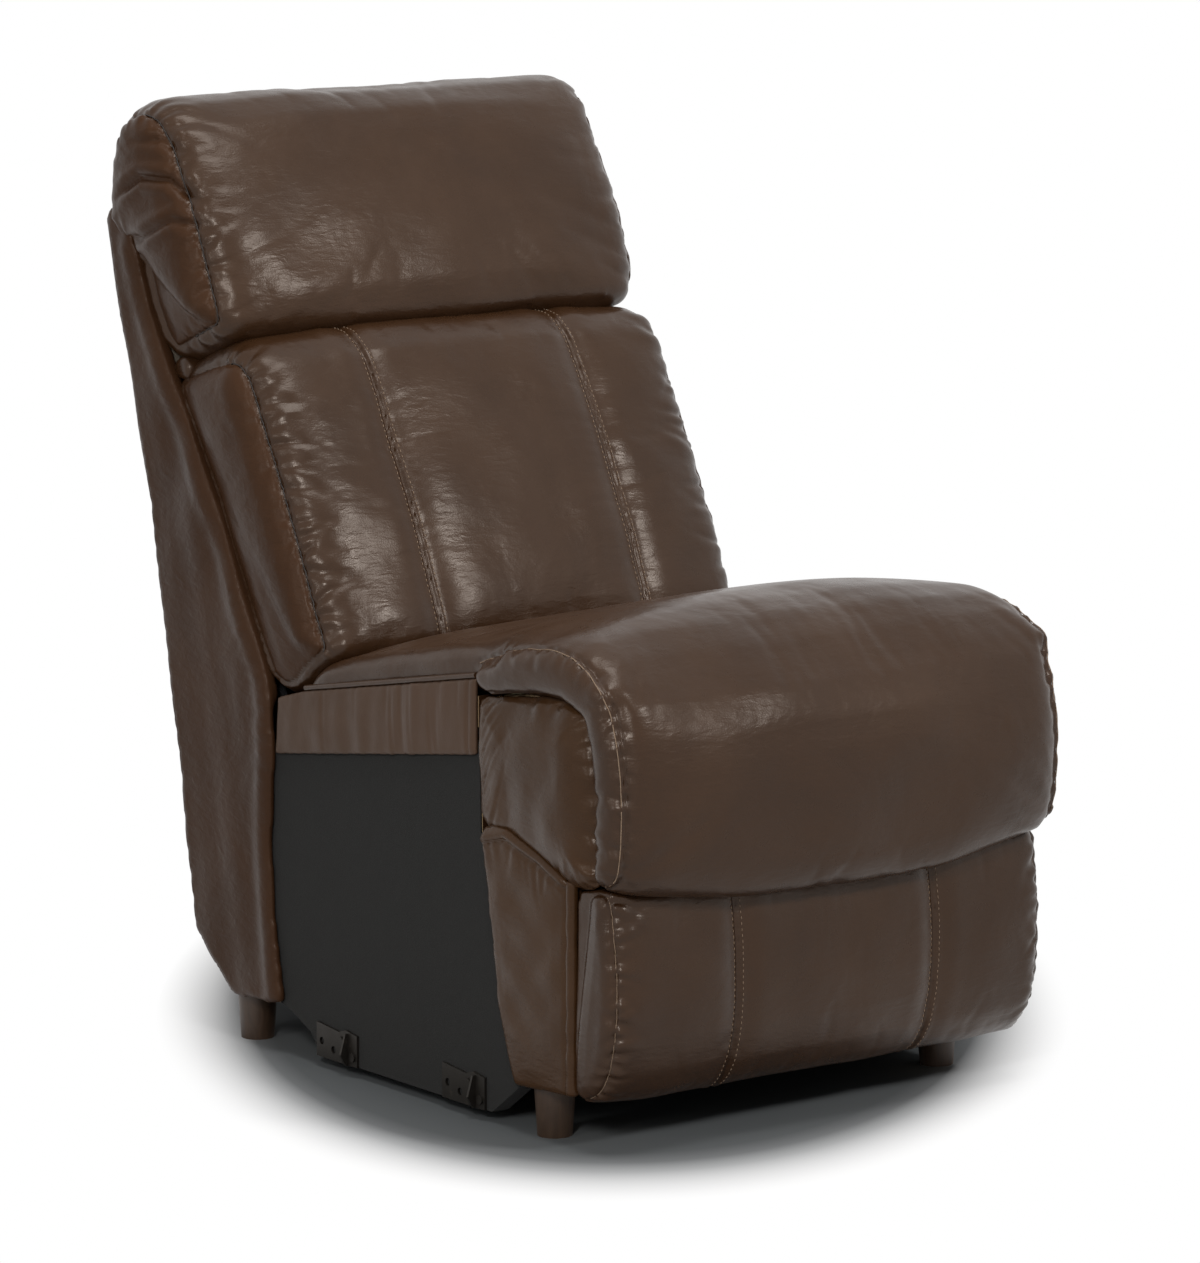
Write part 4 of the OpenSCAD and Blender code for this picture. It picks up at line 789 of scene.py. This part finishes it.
def makeLumbar(c):
    obj = softCopy("lumbarCushion", ["lumbar_cushion"], c["voxel"])
    co, way, off, depth, total = cushionSeams(obj, c)
    rear = np.clip((co[:, 1] * 0.868 - co[:, 2] * 0.497 + 0.062) / 0.012, 0, 1)  # towards the straps
    stitched = heldAt(np.abs(co[:, 0]) - c["seamX"], 0.005) * (depth < 0.03)
    puffed(obj, np.clip(np.maximum.reduce([heldAt(off, 0.007), stitched, rear]), 0, 1), c["cloth"])
    finer(obj)
    co, way, off, depth, total = cushionSeams(obj, c)
    flank = np.sign(co[:, 0])
    front = np.clip((off + 0.01) / 0.01, 0, 1)
    move = (0.0012 * ripple(co, 0.11, 3) + 0.005 * crowned(co, off, 0.13)
            + 0.006 * crowned(co, off, 0.045)) * front
    move += 0.004 * np.clip(depth / 0.04, 0, 1) * np.clip(-off / 0.01, 0, 1)
    gathers = {**c["gathers"], "to": total - 0.10}
    for k, s in enumerate((-1, 1)):
        mine = flank == s
        move += np.where(mine, gatherField(way, off, gathers, 11 + k), 0)
        move += np.where(mine, gatherField(way, -off, {**gathers, **c["sideGathers"]}, 21 + k), 0)
        move += stitchedSeam(co, way, s, c, (depth < 0.035) & mine, total, 31 + k * 2)
    move += groove(off, 0.0030, 0.0030)
    place(obj, co + normals(obj) * move[:, None])
    sidePanels(obj, off)
    return obj


def makeHead(c):
    obj = softCopy("headCushion", ["head_cushion"], c["voxel"])
    co, way, off, depth, total = cushionSeams(obj, c)
    rear = np.clip((co[:, 1] - 0.40) / 0.03, 0, 1) * np.clip((0.90 - co[:, 2]) / 0.03, 0, 1)
    puffed(obj, np.maximum(heldAt(off, 0.007), rear), c["cloth"])
    finer(obj)
    co, way, off, depth, total = cushionSeams(obj, c)
    flank = np.sign(co[:, 0])
    move = 0.0013 * ripple(co, 0.12, 5) + 0.005 * crowned(co, off, 0.16) + 0.006 * crowned(co, off, 0.045)
    move += 0.004 * np.clip(depth / 0.05, 0, 1) * np.clip(-off / 0.01, 0, 1)
    for line, deep in c["tucks"]:
        fold, along = nearLine(co, line)
        end = sum(math.dist(a, b) for a, b in zip(line[:-1], line[1:]))
        fade = np.clip(along / 0.015, 0, 1) * np.clip((end - along) / 0.03, 0, 1)
        tuck = (groove(fold, deep, 0.0034) - groove(fold - 0.011, deep * 0.45, 0.006)) * fade
        move += np.where((flank < 0) & (off < 0.02), tuck, 0)
    gathers = {**c["gathers"], "to": total - 0.06}
    for k, s in enumerate((-1, 1)):
        mine = flank == s
        move += np.where(mine, gatherField(way, off, gathers, 41 + k), 0)
        move += np.where(mine, gatherField(way, -off, {**gathers, **c["sideGathers"]}, 51 + k), 0)
    move += groove(off, 0.0028, 0.0030)
    place(obj, co + normals(obj) * move[:, None])
    sidePanels(obj, off)
    return obj


lumbarObj = makeLumbar(lumbar)
headObj = makeHead(head)
print("back cushions made")


# footrest cushion
foot = {
    "outline": mm((-431, 282), (-439, 271), (-444, 240), (-449, 200), (-450, 160), (-446, 125),
                  (-437, 90), (-424, 68), (-411, 57.5), (-397, 53.5), (-384, 57), (-379, 66),
                  (-386, 130), (-395, 205), (-404, 268), (-408, 278), (-418, 283)),
    "half": 0.2897, "seamX": 0.132, "voxel": 0.005,
    "gathers": {"from": -0.02, "to": 0.24, "pitch": 0.013, "reach": 0.05, "width": 0.0038, "depth": 0.0042},
    "sideGathers": {"reach": 0.034, "depth": 0.0030, "lean": 0.5},
    "stitched": {"depth": 0.0030, "width": 0.0030, "aside": 0.007, "rise": 0.0009},
    "puckers": {"from": 0.0, "pitch": 0.011, "reach": 0.02, "width": 0.0032, "depth": 0.0010},
    "cloth": {"smaller": 0.003, "growth": 0.012, "pressure": 6.0, "keep": 0.3, "wrinkle": 0.4, "cap": 0.003}}


def makeFootrest(c):
    obj = softCopy("footrestCushion", ["footrest_cushion"], c["voxel"])
    co, way, off, depth, total = cushionSeams(obj, c)
    rear = np.clip((co[:, 1] + 0.412 + (co[:, 2] - 0.06) * 0.11) / 0.008, 0, 1)
    stitched = heldAt(np.abs(co[:, 0]) - c["seamX"], 0.005)
    puffed(obj, np.clip(np.maximum.reduce([heldAt(off, 0.006), stitched, rear]), 0, 1), c["cloth"])
    finer(obj)
    co, way, off, depth, total = cushionSeams(obj, c)
    flank = np.sign(co[:, 0])
    move = 0.0008 * ripple(co, 0.09, 7) + 0.004 * crowned(co, off, 0.10) * (way < 0.30)
    move += 0.003 * np.clip(depth / 0.02, 0, 1) * np.clip(-off / 0.008, 0, 1)
    for k, s in enumerate((-1, 1)):
        mine = flank == s
        move += np.where(mine, gatherField(way, off, c["gathers"], 61 + k), 0)
        move += np.where(mine, gatherField(way, -off, {**c["gathers"], **c["sideGathers"]}, 67 + k), 0)
        move += stitchedSeam(co, way, s, c, mine & (way < 0.26), 0.25, 71 + k * 2)
    move += groove(off, 0.0024, 0.0028)
    place(obj, co + normals(obj) * move[:, None])
    return obj


footObj = makeFootrest(foot)
print("footrest made")


# chaise pad: seat pad, front drop and end rolls in one cover
chaise = {
    "outline": mm((105, 399), (103, 428), (84, 443), (60, 452), (30, 460.5), (-20, 470), (-74, 481),
                  (-140, 493.5), (-200, 507.5), (-250, 518), (-301, 526.5), (-350, 530.5), (-385, 527.5),
                  (-415, 514.5), (-440.5, 493.7), (-455, 474), (-466, 440), (-472, 405), (-474, 370),
                  (-473, 335), (-470, 312), (-465, 296), (-456, 287), (-441, 284), (-429, 288),
                  (-424.5, 305), (-423.5, 380), (-416.5, 425), (-407.8, 457.5), (-372, 473.5),
                  (-336, 472.5), (-237, 460.5), (-74, 434.5), (0, 419.5)),
    "half": 0.304, "seamAt": 0.3015, "voxel": 0.006, "sag": 0.026,
    "pinches": {"from": 0.26, "to": 0.92, "pitch": 0.085, "reach": 0.10, "width": 0.005, "depth": 0.0036},
    "gathers": {"from": 0.34, "to": 0.90, "pitch": 0.019, "reach": 0.03, "width": 0.004, "depth": 0.0026},
    "bandGathers": {"pitch": 0.013, "reach": 0.045, "width": 0.0034, "depth": 0.0034},
    "cloth": {"smaller": 0.003, "growth": 0.008, "pressure": 8.0, "keep": 0.4, "wrinkle": 0.45, "cap": 0.005}}


def makeChaise(c):
    parts = ["seat_pad", "pad_drop", "pad_roll_left", "pad_roll_right", "drop_roll_left", "drop_roll_right"]
    obj = softCopy("chaisePad", parts, c["voxel"], 0.0006, 6)
    seams = {**c, "half": c["seamAt"]}
    co, way, off, depth, total = cushionSeams(obj, seams)
    under = np.clip((way - 0.905) / 0.02, 0, 1)
    behind = np.clip((co[:, 1] + 0.21) / 0.02, 0, 1) * np.clip((np.abs(co[:, 0]) - 0.255) / 0.01, 0, 1)
    puffed(obj, np.clip(np.maximum.reduce([under, behind, heldAt(off, 0.006)]), 0, 1), c["cloth"])
    finer(obj)
    co, way, off, depth, total = cushionSeams(obj, seams)
    flank = np.sign(co[:, 0])
    ahead = np.clip((-0.20 - co[:, 1]) / 0.03, 0, 1)
    move = 0.0012 * ripple(co, 0.13, 9) + 0.004 * crowned(co, off, 0.16) * ahead
    move += 0.0035 * np.sin(np.clip(depth / 0.022, 0, 1) * math.pi / 2) * np.clip(-off / 0.006, 0, 1) * ahead
    for k, s in enumerate((-1, 1)):
        mine = (flank == s) * ahead
        move += mine * gatherField(way, -off, c["pinches"], 95 + k)
        move += mine * gatherField(way, off, c["gathers"], 81 + k)
        move += mine * gatherField(way, -off, {**c["gathers"], **c["bandGathers"]}, 91 + k)
    move += groove(off, 0.0026, 0.0028) * ahead
    co = co + normals(obj) * move[:, None]
    co[:, 0] *= 1 - 0.018 * ahead * np.clip((-0.30 - co[:, 1]) / 0.12, 0, 1)
    low = np.clip((0.40 - co[:, 2]) / 0.11, 0, 1) ** 1.5 * np.clip((-0.41 - co[:, 1]) / 0.01, 0, 1)
    low *= np.clip(1 - (co[:, 0] / 0.29) ** 2, 0, 1)
    co[:, 2] -= c["sag"] * low
    co[:, 1] -= 0.2 * c["sag"] * low
    place(obj, co)
    return obj


chaiseObj = makeChaise(chaise)
print("chaise pad made")


# side bolsters below the seat edge
bolster = {
    "outline": mm((-212, 340), (-211.5, 400), (-213, 450), (-224, 455.5), (-262, 461.5), (-300, 466.6),
                  (-336, 471), (-372, 470.5), (-396, 460.5), (-408, 436), (-416, 405), (-422, 370),
                  (-422.5, 310), (-416, 296), (-398, 289.5), (-373, 290), (-322, 309), (-266, 326),
                  (-226, 327)),
    "voxel": 0.0045, "hang": 0.012,
    "creases": {"from": -0.10, "to": 0.2, "pitch": 0.011, "reach": 0.075, "width": 0.0028, "depth": 0.0020},
    "gathers": {"from": 0.20, "to": 0.52, "pitch": 0.016, "reach": 0.045, "width": 0.0045, "depth": 0.0042}}


def makeBolster(side, sign, c):
    obj = softCopy("bolster" + side.capitalize(), ["side_bolster_" + side], c["voxel"], 0.0, 3)
    obj.data.materials[0] = trimHide
    finer(obj)
    co = points(obj)
    no = normals(obj)
    out = np.clip(sign * no[:, 0], 0, 1)
    depth, way, total = alongOutline(co, c["outline"])
    front = np.clip((-0.27 - co[:, 1]) / 0.10, 0, 1)
    move = -0.003 + (0.008 + 0.006 * front) * np.sin(
        np.clip(depth / (0.075 - 0.025 * front), 0, 1) * math.pi / 2)
    ahead = -0.21 - co[:, 1]
    move += gatherField(co[:, 2] - 0.29 - 1.3 * ahead, ahead - 0.012, c["creases"], 101 + sign)
    move += gatherField(way, depth, c["gathers"], 103 + sign) + 0.0010 * ripple(co, 0.06, 13 + sign)
    co = co + no * (move * out)[:, None]
    co[:, 2] -= c["hang"] * np.clip((0.40 - co[:, 2]) / 0.07, 0, 1)
    place(obj, co)
    return obj


bolsters = [makeBolster("left", -1, bolster), makeBolster("right", 1, bolster)]
print("bolsters made")


# shell: one leather cover over both sides and the rear
shell = {
    "front": mm((151, 59), (168, 150), (173, 232), (166, 334), (166.5, 352), (170.5, 393), (176, 416),
                (219, 498), (276, 602), (343, 705), (402, 800), (430, 865)),
    "rear": mm((437, 884), (455, 902), (476, 908), (485, 896), (441, 722), (405, 586), (381, 460),
               (367, 385), (348.5, 298), (340, 212), (324, 116), (251, 53)),
    "inner": mm((249.5, 58.5), (320, 121), (334.5, 213.5), (342.5, 299), (361, 386), (375, 461),
                (399, 587.5), (435, 723.5), (473, 869)),
    "fold": mm((168, 300), (169, 345), (176, 410), (219, 494), (276, 598), (343, 701), (402, 796),
               (424, 850)),
    "side": (0.2840, 0.2908), "lining": (0.2740, 0.2860), "rearHalf": 0.2875, "seamX": 0.268, "voxel": 0.0044,
    "lowGathers": {"from": 0.0, "to": 0.22, "pitch": 0.014, "reach": 0.05, "width": 0.0036, "depth": 0.0026},
    "highGathers": {"from": 0.22, "to": 0.66, "pitch": 0.030, "reach": 0.04, "width": 0.005, "depth": 0.0018,
                    "lean": 0.4}}


def makeShell(c):
    bm = bmesh.new()
    lining = [(y + 0.001, z - 0.0006) for y, z in c["front"][5:]]
    lining += [(y + 0.0052, z - 0.003) for y, z in c["front"][:4:-1]]
    for s in (-1, 1):
        plate(bm, s * c["side"][0], s * c["side"][1], c["front"] + c["rear"] + mm((245, 51)))
        plate(bm, s * c["lining"][0], s * c["lining"][1], lining)
    plate(bm, -c["rearHalf"], c["rearHalf"], mm((479, 869.5)) + c["rear"][4:] + c["inner"])
    obj = addObject("leatherShell", bm, sideHide)
    evened(obj, c["voxel"], 9, 0.85)
    place(obj, ontoLine(points(obj), c["rear"][3:], 0.0036))
    co = points(obj)
    no = normals(obj)
    flank = np.sign(co[:, 0])
    outer = np.clip(flank * no[:, 0], 0, 1)
    edge, way = nearLine(co, c["front"])
    tall = co * np.array((1.0, 1.0, 0.45))
    swell = 0.0042 * np.exp(-((edge - 0.016) / 0.013) ** 2) + 0.0016 * np.exp(-((edge - 0.05) / 0.03) ** 2)
    swell += 0.0013 * ripple(tall, 0.07, 17)
    fold, along = nearLine(co, c["fold"])
    for k, s in enumerate((-1, 1)):
        mine = (flank == s) & (outer > 0.2)
        swell += np.where(mine, gatherField(along, fold - 0.004, c["lowGathers"], 121 + k), 0)
        swell += np.where(mine, gatherField(along, fold - 0.004, c["highGathers"], 131 + k), 0)
    rear = np.clip(no[:, 1], 0, 1)
    back = 0.0015 * ripple(tall, 0.11, 19) + groove(np.abs(co[:, 0]) - c["seamX"], 0.0018, 0.0026)
    place(obj, co + no * (swell * outer + back * rear)[:, None])
    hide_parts("back_wing_left", "back_wing_right", "lower_cover_left", "lower_cover_right",
                "rear_cover", "back_gusset", "outer_back")
    return obj


shellObj = makeShell(shell)
print("shell made")


# side strips of the seat and front posts
strip = {
    "outline": mm((162.5, 336), (157, 399), (106, 413), (-208, 471.5), (-208, 391)),
    "voxel": 0.0026, "seamY": -0.196, "creases": [(-0.20, -0.10, 6), (-0.10, 0.14, 7)]}
post = {
    "outline": mm((-220, 300), (-224, 317), (-240, 322), (-266, 321), (-322, 303), (-364, 287),
                  (-364, 57), (-277, 51), (-262, 84), (-246, 136), (-234, 220)),
    "front": mm((-372, 281), (-366, 282), (-366, 58), (-372, 58)),
    "fold": mm((-226, 300), (-262, 309), (-322, 291), (-364, 275)),
    "skin": (0.2838, 0.2906), "frontSkin": (0.262, 0.2875), "voxel": 0.003,
    "creases": {"from": 0.0, "to": 0.16, "pitch": 0.014, "reach": 0.05, "width": 0.003, "depth": 0.0014,
                "lean": 0.5},
    "welt": {"y": -0.3708, "x": 0.2852, "radius": 0.0068, "low": 0.058, "high": 0.284, "voxel": 0.0026}}


def makeStrip(side, sign, c):
    obj = softCopy("strip" + side.capitalize(), ["seat_strip_" + side], c["voxel"], 0.0003, 2)
    obj.data.materials[0] = stripHide
    co = points(obj)
    no = normals(obj)
    depth, way, total = alongOutline(co, c["outline"])
    outer = np.clip(sign * no[:, 0], 0, 1)
    rng = np.random.default_rng(141 + sign)
    move = 0.0022 * np.clip(depth / 0.03, 0, 1) ** 0.7 + 0.0007 * ripple(co * np.array((1, 1, 0.2)), 0.03, 23)
    for at in [y for low, high, count in c["creases"] for y in rng.uniform(low, high, count)]:
        top = rng.uniform(0.40, 0.47)
        long = rng.uniform(0.02, 0.06)
        beside = co[:, 1] - at - 0.06 * (co[:, 2] - top)
        fade = np.exp(-((co[:, 2] - top) / long) ** 2)
        move -= rng.uniform(0.0004, 0.0010) * np.exp(-(beside / 0.0026) ** 2) * fade
    move += groove(co[:, 1] - c["seamY"], 0.0016, 0.0022)
    place(obj, co + no * (move * outer)[:, None])
    return obj


def makePost(side, sign, c):
    bm = bmesh.new()
    for (low, high), outline in ((c["skin"], c["outline"]), (c["frontSkin"], c["front"])):
        plate(bm, *sorted((sign * low, sign * high)), outline)
    obj = addObject("post" + side.capitalize(), bm, trimHide)
    evened(obj, c["voxel"], 3)
    co = points(obj)
    no = normals(obj)
    depth, way, total = alongOutline(co, c["outline"])
    outer = np.clip(sign * no[:, 0], 0, 1)
    fold, along = nearLine(co, c["fold"])
    foldY, foldZ = np.array(c["fold"]).T
    above = co[:, 2] > np.interp(-co[:, 1], -foldY, foldZ)
    move = 0.0018 * np.clip(depth / 0.02, 0, 1) ** 0.7 + 0.0008 * ripple(co, 0.05, 29 + sign)
    move += above * 0.0030 * np.exp(-((fold - 0.006) / 0.006) ** 2) + groove(fold, 0.0030, 0.0026)
    move += np.where(above, 0, gatherField(along, fold, c["creases"], 151 + sign))
    place(obj, co + no * (move * outer)[:, None])
    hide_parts("front_post_" + side)
    return obj


def makeWelt(side, sign, c):
    bm = bmesh.new()
    size = c["high"] - c["low"]
    bmesh.ops.create_cone(bm, cap_ends=True, segments=20, radius1=c["radius"], radius2=c["radius"],
                          depth=size)
    bmesh.ops.translate(bm, verts=bm.verts, vec=(sign * c["x"], c["y"], c["low"] + size / 2))
    obj = addObject("postWelt" + side.capitalize(), bm, trimHide)
    evened(obj, c["voxel"], 4)
    co = points(obj)
    lumps = 0.0006 * ripple(co * np.array((0.3, 0.3, 1)), 0.03, 33 + sign)
    place(obj, co + normals(obj) * lumps[:, None])
    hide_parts("post_welts")
    return obj


strips = [makeStrip("left", -1, strip), makeStrip("right", 1, strip)]
posts = [makePost("left", -1, post), makePost("right", 1, post)]
welts = [makeWelt("left", -1, post["welt"]), makeWelt("right", 1, post["welt"])]
print("strips and posts made")


neck = {"middle": (0.351, 0.7385), "radii": (0.016, 0.013), "half": 0.2825}


def makeNeck(c):  # soft leather roll that closes the gap between the two back cushions
    (y, z), (deep, high) = c["middle"], c["radii"]
    turns = [k * math.pi / 8 for k in range(16)]
    bm = bmesh.new()
    plate(bm, -c["half"], c["half"], [(y + deep * math.cos(a), z + high * math.sin(a)) for a in turns])
    obj = addObject("neckRoll", bm, hide)
    evened(obj, 0.005, 2)
    return obj


neckRoll = makeNeck(neck)


# stitched threads
stitch = {"step": 0.0062, "length": 0.0042, "radius": 0.00055}


def seamThreads(name, obj, c, first, last, aside):
    bm = bmesh.new()
    tree = treeOf(obj)
    rows = outlineWalk(c["outline"], first, last, 0.006)
    for s in (-1, 1):
        for d in (-aside, aside):
            x = s * c["seamX"] + d
            path = surfacePath(tree, [(x, p[0], p[1]) for p, _ in rows], [(0, o[0], o[1]) for _, o in rows])
            stitchRow(bm, path, stitch["step"], stitch["length"], stitch["radius"])
    bmesh.ops.recalc_face_normals(bm, faces=bm.faces)
    return addObject(name, bm, thread)


lumbarThreads = seamThreads("lumbarThreads", lumbarObj, lumbar, 10, 20, 0.0062)
footThreads = seamThreads("footThreads", footObj, foot, 1, 8, 0.0058)
lumbarSeams = sideSeam("lumbarSeams", lumbarObj, lumbar, 10, 21, darkThread, 0.0009)
headSeams = sideSeam("headSeams", headObj, head, 7, 22, darkThread, 0.0009)
footSeams = sideSeam("footSeams", footObj, foot, 0, 9, thread, 0.0005)
chaiseSeams = sideSeam("chaiseSeams", chaiseObj, chaise, 8, 23, thread, 0.0006)
print("threads made")

for obj in (lumbarObj, headObj, lumbarThreads, lumbarSeams, headSeams, neckRoll):
    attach(obj, "back")
for obj in posts + welts:
    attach(obj, "base")
for obj in strips:
    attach(obj, "seat")
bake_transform(shellObj)
for obj in (footObj, footThreads, footSeams):
    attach(obj, "footrest")
for obj in bolsters:
    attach(obj, "seat")
for obj in (chaiseObj, chaiseSeams):
    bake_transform(obj)
